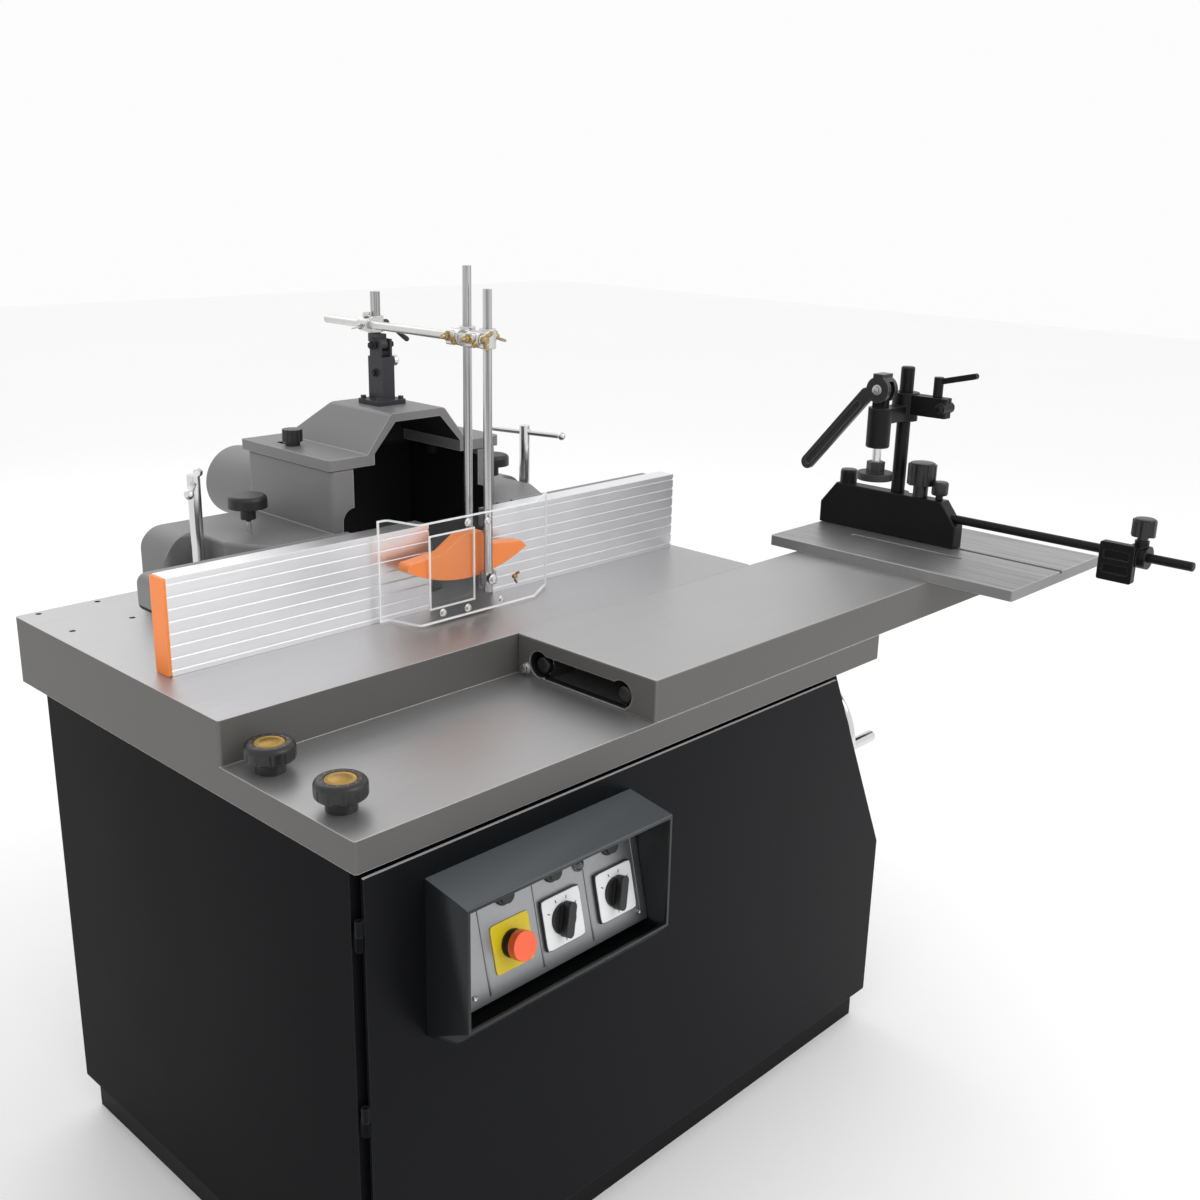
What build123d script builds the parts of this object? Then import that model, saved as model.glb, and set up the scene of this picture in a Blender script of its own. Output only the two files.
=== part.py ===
"""Spindle moulder with a fixed main table, a short sliding table, a hood with
two fence boards, a clear guard on rods, and a mitre fence with a cam clamp.

Frame: millimetres, +Z up, +X to the right along the fence, +Y to the rear.
The origin is on the floor, right under the spindle axis.
"""
import math
import os

from build123d import *

# Running and seating clearances
run_gap = 0.05          # radial, shaft in bore
seat_gap = 0.3          # between pieces that slide on each other
press_gap = 0.02        # radial, fixed rods in their bores

# Main table
table_height = 850.0
table_length = 1100.0
table_depth = 872.0
table_left = 564.0      # spindle axis to the left edge
table_front = 585.0     # spindle axis to the front edge
ledge_depth = 285.0     # lower front ledge that carries the sliding table
ledge_drop = 64.0
ledge_thickness = 43.0
table_plate = 20.0
table_wall = 20.0
table_rib = 14.0
ring_outer_r = 100.0
ring_middle_r = 70.0
ring_inner_r = 45.0
ring_thickness = 10.0
ring_ledge = 8.0
feeder_pitch_x = 97.0
feeder_pitch_y = 114.0
feeder_edge_x = 32.0
feeder_edge_y = 12.0
feeder_hole_r = 5.0

x_left = -table_left
x_right = x_left + table_length
y_front = -table_front
y_rear = y_front + table_depth
y_step = y_front + ledge_depth
z_ledge = table_height - ledge_drop
z_cabinet = z_ledge - ledge_thickness

# Cabinet
base_height = 60.0
base_plate = 8.0
base_wall = 6.0
base_inset = 14.0
anchor_inset = 45.0
anchor_hole_r = 7.0
cabinet_wall = 4.0
cabinet_overhang = 65.0     # how far the right side stands out past the table
cabinet_top_inset = 110.0   # how far the slope starts inside the table's right edge
slope_foot = 379.0          # height at which the right side turns vertical
cabinet_depth = 773.0
door_gap = 12.0
door_thickness = 5.0
door_setback = 2.0
frame_margin = 40.0

cab_front = y_front + door_setback + door_thickness + 6.0
cab_rear = cab_front + cabinet_depth
cab_right = x_right + cabinet_overhang
cab_top_right = x_right - cabinet_top_inset
slope_run = (cab_right - cab_top_right) / (z_cabinet - slope_foot)

# Sliding table on two round rails
slide_length = 1070.0
slide_proud = 0.3       # how far it stands above the main table
slide_left = -44.0
slide_wall = 14.0
slide_roof = 23.0
slide_lip = 4.0
rail_r = 14.0
rail_web = 12.0
rail_rise = 22.0
rail_start = -26.0
rail_front_in = 67.0
rail_rear_in = 237.0
lobe_r = 21.0
lobe_rise = 25.0
bearing_length = 40.0
bearing_width = 46.0
bearing_starts = (425.0, 490.0)
lock_knob_r = 33.5
lock_knob_height = 24.0
lock_knob_stem_r = 20.0
lock_knob_stem = 16.0
lock_stud_r = 6.0
lock_knob_in = 42.0

# Mitre plate, fence, stop and clamp, carried by the sliding table
plate_left = 681.0
plate_length = 335.0
plate_width = 507.0
plate_overhang = 160.0
plate_thickness = 20.0
groove_width = 12.0
groove_depth = 6.0
fence_face_x = 847.0
mitre_thickness = 29.0
mitre_length = 302.0
mitre_height = 85.0
mitre_end_height = 42.0
mitre_chamfer = 34.0
mitre_rear = -234.0
pivot_in = 53.0
big_knob_in = 215.0
bar_r = 8.0
bar_reach = 435.0
bar_socket = 40.0
bar_height = 55.0
stop_at = 646.0
stop_hub_r = 20.0
stop_hub_length = 30.0
stop_plate = (14.0, 61.0, 67.0)
stop_knob_r = 20.0
stop_knob_height = 28.0
post_r = 13.0
post_in = 161.0
post_offset = 22.0
post_top = 325.0
boss_r = 22.0
collar_r = 25.0
collar_height = 53.0
collar_at = 224.0
clamp_reach = 86.0
clamp_arm_low = 14.0      # arm above the collar's foot
clamp_arm_height = 37.0
cylinder_r = 22.0
cylinder_drop = 42.0
plunger_r = 8.0
pad_r = 34.0
pad_height = 14.0
pad_rise = 121.0
nut_r = 17.0
nut_height = 20.0
cam_r = 24.0
lever_length = 215.0
lever_width = 26.0
lever_tilt = 40.0
cam_pin_r = 5.0
knob_big_r = 27.0
knob_big_height = 39.0

# Fence carriage, hood and fence boards
board_length = 456.0
board_height = 141.0
board_thickness = 35.0
board_gap = 135.0
board_face_y = -118.0
board_groove = (3.0, 2.0)
board_grooves = 8
cap_thickness = 5.0
slot_mouth = 10.0
slot_mouth_depth = 6.0
slot_width = 20.0
slot_depth = 8.0
hood_half = 173.0
hood_front = -10.0
hood_depth = 240.0
hood_wall = 12.0
hood_height = 223.0
cheek_width = 42.0
cheek_low_width = 20.0
cheek_low_rise = 140.0   # table to the end of the cheek's cut-out
cheek_high_rise = 159.0
wing_height = 122.0
wing_wall = 10.0
wing_round = 45.0
wing_front_x = 287.0
wing_end_x = 380.0
notch_x = 326.0
notch_y = 145.0
foot_height = 30.0
handle_x = 347.0
handle_y = 103.0
carriage_back = 70.0
rail_height = 55.0
rail_drop = 8.0          # rail's top below the board's top
rail_depth = 37.0
rail_end_x = 528.0
spigot_r = 62.5
spigot_wall = 3.0
spigot_x = -98.0
spigot_rise = 135.0
spigot_length = 160.0
cover_thickness = 18.0
cover_overhang = 5.0
roof_base_half = 104.0
roof_top_half = 55.0
roof_height = 61.0
roof_wall = 14.0
roof_back = 150.0
roof_rear = 215.0
cover_travel = 35.0
cover_knob_x = 147.0
cover_knob_y = 132.0
cover_knob_r = 16.5
cover_stud_r = 5.0
wing_knob_x = 259.0
wing_knob_y = 97.0
wing_knob_r = 31.0
handle_post_r = 10.0
handle_stud_r = 8.0
handle_rise = 223.0
handle_ball_r = 7.5
handle_turns = (-125.0, -74.0)
handle_bar_r = 5.0
handle_bar_length = 160.0

# Guard on its mast
mast_y = 83.0
mast_base = 58.0
mast_flange = 8.0
mast_width = 25.0
mast_depth = 38.0
mast_wall = 4.0
mast_height = 78.0
pivot_rise = 97.0
pivot_pin_r = 4.0
mast_rod_r = 8.0
mast_rod_y = 95.0
mast_rod_rise = 52.0      # above the arm
arm_x = -18.0
arm_rise = 33.7           # pivot to the arm
arm_r = 7.0
arm_front = -237.0
arm_rear = 206.0
rod_x = 4.0
rod_front_y = -178.0
rod_rear_y = -131.0
rod_front_rise = 74.0     # above the arm
rod_rear_rise = 106.0
rod_front_clear = 30.0    # above the table
rod_rear_clear = 85.0
clamp_sleeve = 5.0
clamp_web = 14.0
visor_clear = 4.0
visor_height = 162.0
visor_thickness = 3.0
visor_front_y = -187.0
visor_left = -176.0
visor_right = 159.0
visor_flange = 18.0
visor_bend = 9.0
shoe_front = -163.0
shoe_depth = 24.8
shoe_left = -146.0
shoe_right = 102.0
shoe_sag = 31.0
shoe_hump = 42.0
shoe_hump_width = 38.0

# Spindle, quill, drive and lift
arbor_r = 15.0
arbor_rise = 110.0        # above the table
arbor_flange_r = 32.0
shaft_r = 24.95
shaft_foot_r = 20.0
quill_r = 60.0
quill_drop = 60.0         # quill's top below the table
quill_length = 340.0
bearing_r = 45.0
bearing_height = 20.0
housing_r = 78.0
housing_flange_r = 130.0
housing_length = 270.0
carrier_thickness = 16.0
pulley_height = 74.0
spindle_pulley_r = 45.0
motor_pulley_r = 70.0
pulley_step = 15.0
belt_width = 24.0
belt_thickness = 6.0
motor_x = -260.0
motor_r = 95.0
motor_height = 222.0
motor_shaft_r = 14.0
screw_x = 120.0
screw_y = -365.0
screw_r = 11.0
screw_foot_drop = 570.0   # below the table
wheel_drop = 325.0
wheel_inset = 1.0         # inside the cabinet's right side
wheel_rim_r = 140.0
wheel_tube_r = 9.0
wheel_shaft_r = 10.0
wheel_grip_radius = 125.0
wheel_grip_r = 11.0
wheel_grip_length = 70.0
bevel_r = 22.0

# Control box on the door
box_left = -461.0
box_width = 370.0
box_wall = 4.0
box_drop = 43.0            # below the table
box_height = 224.0
box_reach = 80.0
visor_lip = 33.0
panel_top_in = (9.0, 40.0)    # out from the table's front, down from the box's top
panel_foot_in = (43.0, 184.0)
switch_down = 13.0
panel_thickness = 3.0
switch_x = (-256.0, -154.0)
estop_x = -345.0
button_x = (-347.0, -261.0, -152.0)
button_up = 54.0
switch_r = 21.0
switch_stem_r = 6.0
estop_r = 20.0
estop_stem_r = 11.0
button_r = 11.0
button_stem_r = 8.0

spigot_z = table_height + spigot_rise
handle_top = table_height + handle_rise
wheel_z = table_height - wheel_drop
wheel_x = cab_right - wheel_inset
quill_top = table_height - quill_drop
quill_bottom = quill_top - quill_length
screw_foot = table_height - screw_foot_drop
arbor_top = table_height + arbor_rise
rod_front_foot = table_height + rod_front_clear
rod_rear_foot = table_height + rod_rear_clear
box_top = z_cabinet - box_drop
box_bottom = box_top - box_height
panel_top = (y_front - panel_top_in[0], box_top - panel_top_in[1])
panel_foot = (y_front - panel_foot_in[0], box_top - panel_foot_in[1])

os.makedirs("parts", exist_ok=True)


def write(piece, name):
    """Label a finished sub-part and write its STEP file."""
    piece.part.label = name
    export_step(piece.part, "parts/" + name + ".step")


def bar_x(y, z):
    """Plane square to +X, with local x along Y and local y along Z."""
    return Plane((0, y, z), x_dir=(0, 1, 0), z_dir=(1, 0, 0))


def bar_y(x, z, y=0.0):
    """Plane square to +Y, with local x along X and local y downwards in Z."""
    return Plane((x, y, z), x_dir=(1, 0, 0), z_dir=(0, 1, 0))


# Base frame: floor plate with an upright rim and anchor holes
base_left, base_right = x_left + base_inset, cab_right - base_inset
base_front, base_rear = cab_front + base_inset, cab_rear - base_inset
base_x, base_y = (base_left + base_right) / 2, (base_front + base_rear) / 2
anchor_x = base_right - base_left - 2 * anchor_inset
anchor_y = base_rear - base_front - 2 * anchor_inset
with BuildPart() as base_frame:
    with BuildSketch(Plane.XY.move(Location((base_x, base_y, 0)))):
        Rectangle(base_right - base_left, base_rear - base_front)
    extrude(amount=base_height)
    with BuildSketch(Plane.XY.move(Location((base_x, base_y, base_plate)))):
        Rectangle(base_right - base_left - 2 * base_wall, base_rear - base_front - 2 * base_wall)
    extrude(amount=base_height, mode=Mode.SUBTRACT)
    with BuildSketch(Plane.XY.move(Location((base_x, base_y, 0)))):
        with GridLocations(anchor_x, anchor_y, 2, 2):
            Circle(anchor_hole_r)
    extrude(amount=base_plate, mode=Mode.SUBTRACT)
write(base_frame, "base_frame")


# Cabinet: sheet steel body with a sloped right side, open top and front
def cabinet_outline(inset, low, high):
    """Front outline of the cabinet, drawn in from its edges by inset."""
    shift = inset * math.hypot(1, slope_run)
    top_right = cab_top_right + (z_cabinet - high) * slope_run - shift
    knee = slope_foot - (shift - inset) / slope_run
    return [(x_left + inset, low), (cab_right - inset, low), (cab_right - inset, knee),
            (top_right, high), (x_left + inset, high)]


boss_x = cab_top_right + (z_cabinet - wheel_z) * slope_run
boss_out = wheel_x - 8.0
hinge_x, hinge_y = x_left + 6.0, y_front + 4.5
hinge_r, hinge_pin_r, knuckle = 5.5, 3.0, 20.0
hinge_levels = (base_height + 80.0, (base_height + z_cabinet) / 2 - 1.5, z_cabinet - 83.0)
with BuildPart() as cabinet_shell:
    with BuildSketch(Plane.XZ.offset(-cab_front)):
        Polygon(*cabinet_outline(0, base_height, z_cabinet), align=None)
    extrude(amount=-cabinet_depth)
    with BuildSketch(Plane.XZ.offset(-cab_front - cabinet_wall)):
        Polygon(*cabinet_outline(cabinet_wall, base_height + cabinet_wall, z_cabinet - cabinet_wall),
                align=None)
    extrude(amount=-(cabinet_depth - 2 * cabinet_wall), mode=Mode.SUBTRACT)
    with BuildSketch(Plane.XZ.offset(-cab_front)):
        Polygon(*cabinet_outline(frame_margin, base_height + frame_margin, z_cabinet - frame_margin),
                align=None)
    extrude(amount=-cabinet_wall, mode=Mode.SUBTRACT)
    with BuildSketch(Plane.XY.offset(base_height)):
        with Locations(((x_left + cab_right) / 2, (cab_front + cab_rear) / 2)):
            Rectangle(cab_right - x_left - 2 * frame_margin, cabinet_depth - 2 * frame_margin)
    extrude(amount=cabinet_wall, mode=Mode.SUBTRACT)
    with BuildSketch(Plane.XY.offset(z_cabinet)):
        with Locations(((x_left + cab_top_right) / 2, (cab_front + cab_rear) / 2)):
            Rectangle(cab_top_right - x_left - 2 * frame_margin, cabinet_depth - 2 * frame_margin)
    extrude(amount=-cabinet_wall, mode=Mode.SUBTRACT)
    with BuildSketch(Plane.XZ.offset(-cab_rear)):
        with GridLocations(0, 24, 1, 8):
            with Locations((0, 250)):
                SlotOverall(240, 9)
    extrude(amount=cabinet_wall, mode=Mode.SUBTRACT)
    with BuildSketch(bar_x(screw_y, wheel_z).offset(boss_x - 22)):
        Circle(20)
    extrude(amount=boss_out - boss_x + 22)
    with BuildSketch(bar_x(screw_y, wheel_z).offset(boss_x - 60)):
        Circle(wheel_shaft_r + run_gap)
    extrude(amount=boss_out - boss_x + 70, mode=Mode.SUBTRACT)
    for level in hinge_levels:
        with BuildSketch(Plane.XY.offset(level)):
            with Locations((hinge_x, hinge_y)):
                Circle(hinge_r)
            with Locations((hinge_x, (hinge_y + cab_front) / 2 + 1)):
                Rectangle(4, cab_front - hinge_y + 2)
        extrude(amount=-knuckle)
        with BuildSketch(Plane.XY.offset(level)):
            with Locations((hinge_x, hinge_y)):
                Circle(hinge_pin_r)
        extrude(amount=knuckle)
write(cabinet_shell, "cabinet_shell")

# Door: folded panel over the whole front, hung on three lift-off hinges
door_front = y_front + door_setback
door_back = door_front + door_thickness
with BuildPart() as door_panel:
    with BuildSketch(Plane.XZ.offset(-door_front)):
        Polygon(*cabinet_outline(door_gap, base_height + 6, z_cabinet - 10), align=None)
    extrude(amount=-door_thickness)
    fillet(door_panel.edges().filter_by(Axis.Y), radius=3)
    with BuildSketch(Plane.XZ.offset(-door_front - 2)):
        Polygon(*cabinet_outline(door_gap + 20, base_height + 26, z_cabinet - 30), align=None)
    extrude(amount=-door_thickness, mode=Mode.SUBTRACT)
    for level in hinge_levels:
        with BuildSketch(Plane.XY.offset(level + seat_gap)):
            with Locations((hinge_x, hinge_y)):
                Circle(hinge_r)
            with Locations(((hinge_x + x_left + door_gap) / 2 + 3, hinge_y)):
                Rectangle(x_left + door_gap - hinge_x + 6, 4)
            with Locations((hinge_x, hinge_y)):
                Circle(hinge_pin_r + run_gap, mode=Mode.SUBTRACT)
        extrude(amount=knuckle)
write(door_panel, "door_panel")

# Main table: ribbed casting with the spindle opening and the lower front ledge
with BuildPart() as table:
    with BuildSketch(Plane.XY.offset(z_cabinet)):
        with Locations(((x_left + x_right) / 2, (y_front + y_rear) / 2)):
            Rectangle(table_length, table_depth)
    extrude(amount=ledge_thickness)
    with BuildSketch(Plane.XY.offset(z_ledge)):
        with Locations(((x_left + x_right) / 2, (y_step + y_rear) / 2)):
            Rectangle(table_length, y_rear - y_step)
    extrude(amount=ledge_drop)
    fillet(table.edges().filter_by(Axis.Z), radius=4)
    pocket_y = (y_rear - y_step - 2 * table_wall - table_rib) / 2
    with BuildSketch(Plane.XY.offset(z_cabinet)):
        with Locations(((x_left + x_right) / 2, (y_step + y_rear) / 2)):
            with GridLocations((table_length - 2 * table_wall - 2 * table_rib) / 3 + table_rib,
                               pocket_y + table_rib, 3, 2):
                Rectangle((table_length - 2 * table_wall - 2 * table_rib) / 3, pocket_y)
        with Locations((0, 0)):
            Circle(housing_flange_r + 6)
    extrude(amount=ledge_thickness + ledge_drop - table_plate, mode=Mode.SUBTRACT)
    with BuildSketch(Plane.XY.offset(z_cabinet)):
        with Locations((x_left + table_wall, y_front + table_wall)):
            Rectangle(table_length / 2 - 2 * table_wall, ledge_depth - 2 * table_wall,
                      align=(Align.MIN, Align.MIN))
    extrude(amount=ledge_thickness - table_plate, mode=Mode.SUBTRACT)
    with BuildSketch(Plane.XY.offset(table_height)):
        Circle(ring_outer_r)
    extrude(amount=-ring_thickness, mode=Mode.SUBTRACT)
    with BuildSketch(Plane.XY.offset(table_height)):
        Circle(ring_outer_r - ring_ledge)
        with Locations((x_left + feeder_edge_x + feeder_pitch_x / 2,
                        y_rear - feeder_edge_y - feeder_pitch_y / 2)):
            with GridLocations(feeder_pitch_x, feeder_pitch_y, 2, 2):
                Circle(feeder_hole_r)
        with Locations((-handle_x, handle_y), (handle_x, handle_y)):
            Circle(handle_stud_r + run_gap)
    extrude(amount=-(ledge_drop + ledge_thickness), mode=Mode.SUBTRACT)
    with BuildSketch(Plane.XY.offset(z_ledge)):
        with Locations((x_left + lock_knob_in, y_front + rail_front_in + 15),
                       (x_left + lock_knob_in, y_front + rail_rear_in - 3)):
            Circle(lock_stud_r + run_gap)
    extrude(amount=-ledge_thickness, mode=Mode.SUBTRACT)
write(table, "table")

# Two table rings that close the opening round the spindle
with BuildPart() as table_rings:
    for outer, inner in ((ring_outer_r, ring_middle_r), (ring_middle_r, ring_inner_r)):
        with BuildSketch(Plane.XY.offset(table_height - ring_thickness)):
            Circle(outer - seat_gap)
            Circle(inner, mode=Mode.SUBTRACT)
        extrude(amount=ring_thickness)
    with BuildSketch(Plane.XY.offset(table_height - ring_thickness)):
        Circle(ring_middle_r + 1)
        Circle(ring_middle_r - 6, mode=Mode.SUBTRACT)
    extrude(amount=ring_thickness / 2 - seat_gap)
write(table_rings, "table_rings")

# Slide rails: round bars on continuous supports, bolted to the ledge
rail_ys = (y_front + rail_front_in, y_front + rail_rear_in)
rail_z = z_ledge + rail_rise
with BuildPart() as slide_rails:
    for rail_y in rail_ys:
        with BuildSketch(bar_x(rail_y, rail_z).offset(rail_start)):
            Circle(rail_r)
            with Locations((0, -rail_rise / 2)):
                Rectangle(rail_web, rail_rise)
        extrude(amount=x_right - rail_start)
write(slide_rails, "slide_rails")

# Sliding table: hollow casting, its left end has a window of two joined lobes
slide_y = y_front + ledge_depth / 2
slide_width = ledge_depth - seat_gap
slide_bottom = z_ledge + seat_gap
slide_top = table_height + slide_proud
slide_height = slide_top - slide_bottom
cavity_top = table_height - slide_roof
with BuildPart() as sliding_table:
    with BuildSketch(bar_x(slide_y, slide_bottom).offset(slide_left)):
        Rectangle(slide_width, slide_height, align=(Align.CENTER, Align.MIN))
    extrude(amount=slide_length)
    fillet(sliding_table.edges().filter_by(Axis.X).group_by(Axis.Z)[-1], radius=2)
    fillet(sliding_table.edges().filter_by(Axis.Z), radius=3)
    with BuildSketch(Plane.XY.offset(slide_bottom)):
        with Locations((slide_left + slide_wall, slide_y)):
            Rectangle(slide_length - 2 * slide_wall, slide_width - 2 * slide_wall,
                      align=(Align.MIN, Align.CENTER))
    extrude(amount=cavity_top - slide_bottom, mode=Mode.SUBTRACT)
    with BuildSketch(bar_x(0, z_ledge).offset(slide_left)):
        with Locations(*[(rail_y, lobe_rise) for rail_y in rail_ys]):
            Circle(lobe_r)
        with Locations((slide_y, slide_lip)):
            Rectangle(rail_ys[1] - rail_ys[0], table_height - slide_roof - z_ledge - slide_lip,
                      align=(Align.CENTER, Align.MIN))
    extrude(amount=slide_wall, mode=Mode.SUBTRACT)
write(sliding_table, "sliding_table")

# Bearing blocks under the sliding table, open below for the rail supports
with BuildPart() as slide_bearings:
    for rail_y in rail_ys:
        for start in bearing_starts:
            with BuildSketch(bar_x(rail_y, rail_z).offset(start)):
                with Locations((0, cavity_top - rail_z)):
                    Rectangle(bearing_width, cavity_top - rail_z + 16, align=(Align.CENTER, Align.MAX))
                Circle(rail_r + run_gap, mode=Mode.SUBTRACT)
                with Locations((0, -12)):
                    Rectangle(rail_web + 4, 24, mode=Mode.SUBTRACT)
            extrude(amount=bearing_length)
write(slide_bearings, "slide_bearings")


# Round lock knobs on the ledge
def lock_knob(name, at_y):
    """Broad knob with a rounded rim on a stem and a stud in the ledge."""
    base = z_ledge + seat_gap
    rim = base + lock_knob_stem
    with BuildPart() as knob:
        with BuildSketch(Plane.XZ):
            with BuildLine():
                Polyline((0, z_ledge - 30), (lock_stud_r, z_ledge - 30), (lock_stud_r, base),
                         (lock_knob_stem_r, base), (lock_knob_stem_r, rim), (lock_knob_r - 5, rim))
                RadiusArc((lock_knob_r - 5, rim), (lock_knob_r, rim + 5), -5)
                Line((lock_knob_r, rim + 5), (lock_knob_r, rim + lock_knob_height - 8))
                RadiusArc((lock_knob_r, rim + lock_knob_height - 8),
                          (lock_knob_r - 8, rim + lock_knob_height), -8)
                Polyline((lock_knob_r - 8, rim + lock_knob_height), (0, rim + lock_knob_height),
                         (0, z_ledge - 30))
            make_face()
        revolve(axis=Axis.Z)
        with BuildSketch(Plane.XY.offset(rim + lock_knob_height)):
            Circle(lock_knob_r - 13)
        extrude(amount=-1.5, mode=Mode.SUBTRACT)
        with BuildSketch(Plane.XY.offset(rim)):
            with PolarLocations(lock_knob_r + 2.5, 12):
                Circle(4)
        extrude(amount=lock_knob_height - 7, mode=Mode.SUBTRACT)
    knob.part.label = name
    moved = knob.part.moved(Location((x_left + lock_knob_in, at_y, 0)))
    moved.label = name
    export_step(moved, "parts/" + name + ".step")


lock_knob("lock_knob_front", y_front + rail_front_in + 15)
lock_knob("lock_knob_rear", y_front + rail_rear_in - 3)

# Mitre plate with its slot and grooves, bolted on the sliding table
plate_rear = y_step + 62.0
plate_front = plate_rear - plate_width
plate_top = slide_top + plate_thickness
groove_x = fence_face_x + mitre_thickness / 2
with BuildPart() as mitre_plate:
    with BuildSketch(Plane.XY.offset(slide_top)):
        with Locations((plate_left, plate_front)):
            Rectangle(plate_length, plate_width, align=(Align.MIN, Align.MIN))
    extrude(amount=plate_thickness)
    fillet(mitre_plate.edges().filter_by(Axis.Z), radius=3)
    chamfer(mitre_plate.edges().group_by(Axis.Z)[-1], length=1)
    with BuildSketch(Plane.XY.offset(plate_top)):
        with Locations((fence_face_x - 46, (plate_rear + plate_front) / 2 + 30)):
            SlotOverall(240, groove_width, rotation=90)
    extrude(amount=-plate_thickness / 2, mode=Mode.SUBTRACT)
    with BuildSketch(Plane.XY.offset(plate_top)):
        with Locations((groove_x, plate_front)):
            Rectangle(groove_width, plate_width, align=(Align.CENTER, Align.MIN))
    extrude(amount=-groove_depth, mode=Mode.SUBTRACT)
write(mitre_plate, "mitre_plate")

# Mitre fence: cast body with sloped ends, a boss for the post and a bore for the bar
mitre_base = plate_top + seat_gap
mitre_front = mitre_rear - mitre_length
mitre_top = plate_top + mitre_height
bar_z = plate_top + bar_height
post_x, post_y = fence_face_x + post_offset, mitre_rear - post_in
pivot_y = mitre_rear - pivot_in
big_knob_y = mitre_rear - big_knob_in
with BuildPart() as mitre_fence:
    with BuildSketch(bar_x(0, 0).offset(fence_face_x)):
        Polygon((mitre_rear, mitre_base), (mitre_front, mitre_base),
                (mitre_front, plate_top + mitre_end_height), (mitre_front + mitre_chamfer, mitre_top),
                (mitre_rear - mitre_chamfer, mitre_top), (mitre_rear, plate_top + mitre_end_height),
                align=None)
    extrude(amount=mitre_thickness)
    with BuildSketch(Plane.XY.offset(mitre_base)):
        with Locations((post_x, post_y)):
            Circle(boss_r)
    extrude(amount=mitre_top - mitre_base)
    fillet(mitre_fence.edges().filter_by(GeomType.LINE).group_by(Axis.X)[0], radius=2.5)
    with BuildSketch(Plane.XY.offset(mitre_top)):
        with Locations((post_x, post_y)):
            Circle(post_r + press_gap)
    extrude(amount=-mitre_height / 2, mode=Mode.SUBTRACT)
    with BuildSketch(bar_y(groove_x, bar_z, mitre_front)):
        Circle(bar_r + press_gap)
    extrude(amount=bar_socket, mode=Mode.SUBTRACT)
    with BuildSketch(Plane.XY.offset(mitre_base)):
        with Locations((groove_x, pivot_y)):
            Circle(groove_width / 2 - 1)
    extrude(amount=-groove_depth / 2)
    with BuildSketch(Plane.XY.offset(mitre_top)):
        with Locations((groove_x, big_knob_y)):
            Circle(6 + run_gap)
    extrude(amount=-20, mode=Mode.SUBTRACT)
    with BuildSketch(Plane.XY.offset(mitre_top)):
        with Locations((groove_x, pivot_y)):
            Circle(16.5)
    extrude(amount=24)
write(mitre_fence, "mitre_fence")

with BuildPart() as clamp_post:
    with BuildSketch(Plane.XY.offset(mitre_top - mitre_height / 2)):
        with Locations((post_x, post_y)):
            Circle(post_r)
    extrude(amount=plate_top + post_top - mitre_top + mitre_height / 2)
    chamfer(clamp_post.edges().group_by(Axis.Z)[-1], length=2)
write(clamp_post, "clamp_post")

with BuildPart() as mitre_bar:
    with BuildSketch(bar_y(groove_x, bar_z, mitre_front + bar_socket)):
        Circle(bar_r)
    extrude(amount=-(bar_socket + bar_reach))
    chamfer(mitre_bar.edges().group_by(Axis.Y)[0], length=1.5)
write(mitre_bar, "mitre_bar")

with BuildPart() as mitre_lock_knob:
    with BuildSketch(Plane.XY.offset(mitre_top - 18)):
        with Locations((groove_x, big_knob_y)):
            Circle(6)
    extrude(amount=18 + seat_gap)
    with BuildSketch(Plane.XY.offset(mitre_top + seat_gap)):
        with Locations((groove_x, big_knob_y)):
            Circle(14)
    extrude(amount=24)
    with BuildSketch(Plane.XY.offset(mitre_top + 24)):
        with Locations((groove_x, big_knob_y)):
            Circle(knob_big_r)
            with PolarLocations(knob_big_r + 3, 8):
                Circle(6, mode=Mode.SUBTRACT)
    extrude(amount=knob_big_height)
write(mitre_lock_knob, "mitre_lock_knob")

# Stop block that slides along the bar
stop_y = mitre_rear - stop_at
with BuildPart() as stop_block:
    with BuildSketch(bar_y(groove_x, bar_z, stop_y - stop_hub_length / 2)):
        Circle(stop_hub_r)
    extrude(amount=stop_hub_length)
    with BuildSketch(Plane.XY.offset(bar_z + stop_hub_r - 4)):
        with Locations((groove_x, stop_y)):
            Circle(12)
    extrude(amount=12)
    with BuildSketch(bar_x(stop_y, bar_z).offset(groove_x - stop_hub_r - stop_plate[0] + 6)):
        with Locations((stop_hub_length, -12)):
            RectangleRounded(stop_plate[1], stop_plate[2], 4)
    extrude(amount=stop_plate[0])
    with BuildSketch(bar_x(stop_y, bar_z).offset(groove_x - stop_hub_r - stop_plate[0] + 6)):
        with Locations((stop_hub_length, -12)):
            with GridLocations(0, 25, 1, 2):
                RectangleRounded(stop_plate[1] - 16, 15, 3)
    extrude(amount=5, mode=Mode.SUBTRACT)
    with BuildSketch(bar_y(groove_x, bar_z, stop_y - 60)):
        Circle(bar_r + run_gap)
    extrude(amount=160, mode=Mode.SUBTRACT)
    with BuildSketch(Plane.XY.offset(bar_z + bar_r + 1)):
        with Locations((groove_x, stop_y)):
            Circle(4 + run_gap)
    extrude(amount=40, mode=Mode.SUBTRACT)
write(stop_block, "stop_block")

stop_top = bar_z + stop_hub_r + 8
with BuildPart() as stop_knob:
    with BuildSketch(Plane.XY.offset(stop_top + seat_gap)):
        with Locations((groove_x, stop_y)):
            Circle(9)
    extrude(amount=12)
    with BuildSketch(Plane.XY.offset(stop_top + 8)):
        with Locations((groove_x, stop_y)):
            Circle(stop_knob_r)
            with PolarLocations(stop_knob_r + 2, 6):
                Circle(5, mode=Mode.SUBTRACT)
    extrude(amount=stop_knob_height)
    with BuildSketch(Plane.XY.offset(bar_z + bar_r + 2)):
        with Locations((groove_x, stop_y)):
            Circle(4)
    extrude(amount=stop_top - bar_z - bar_r)
write(stop_knob, "stop_knob")

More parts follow.
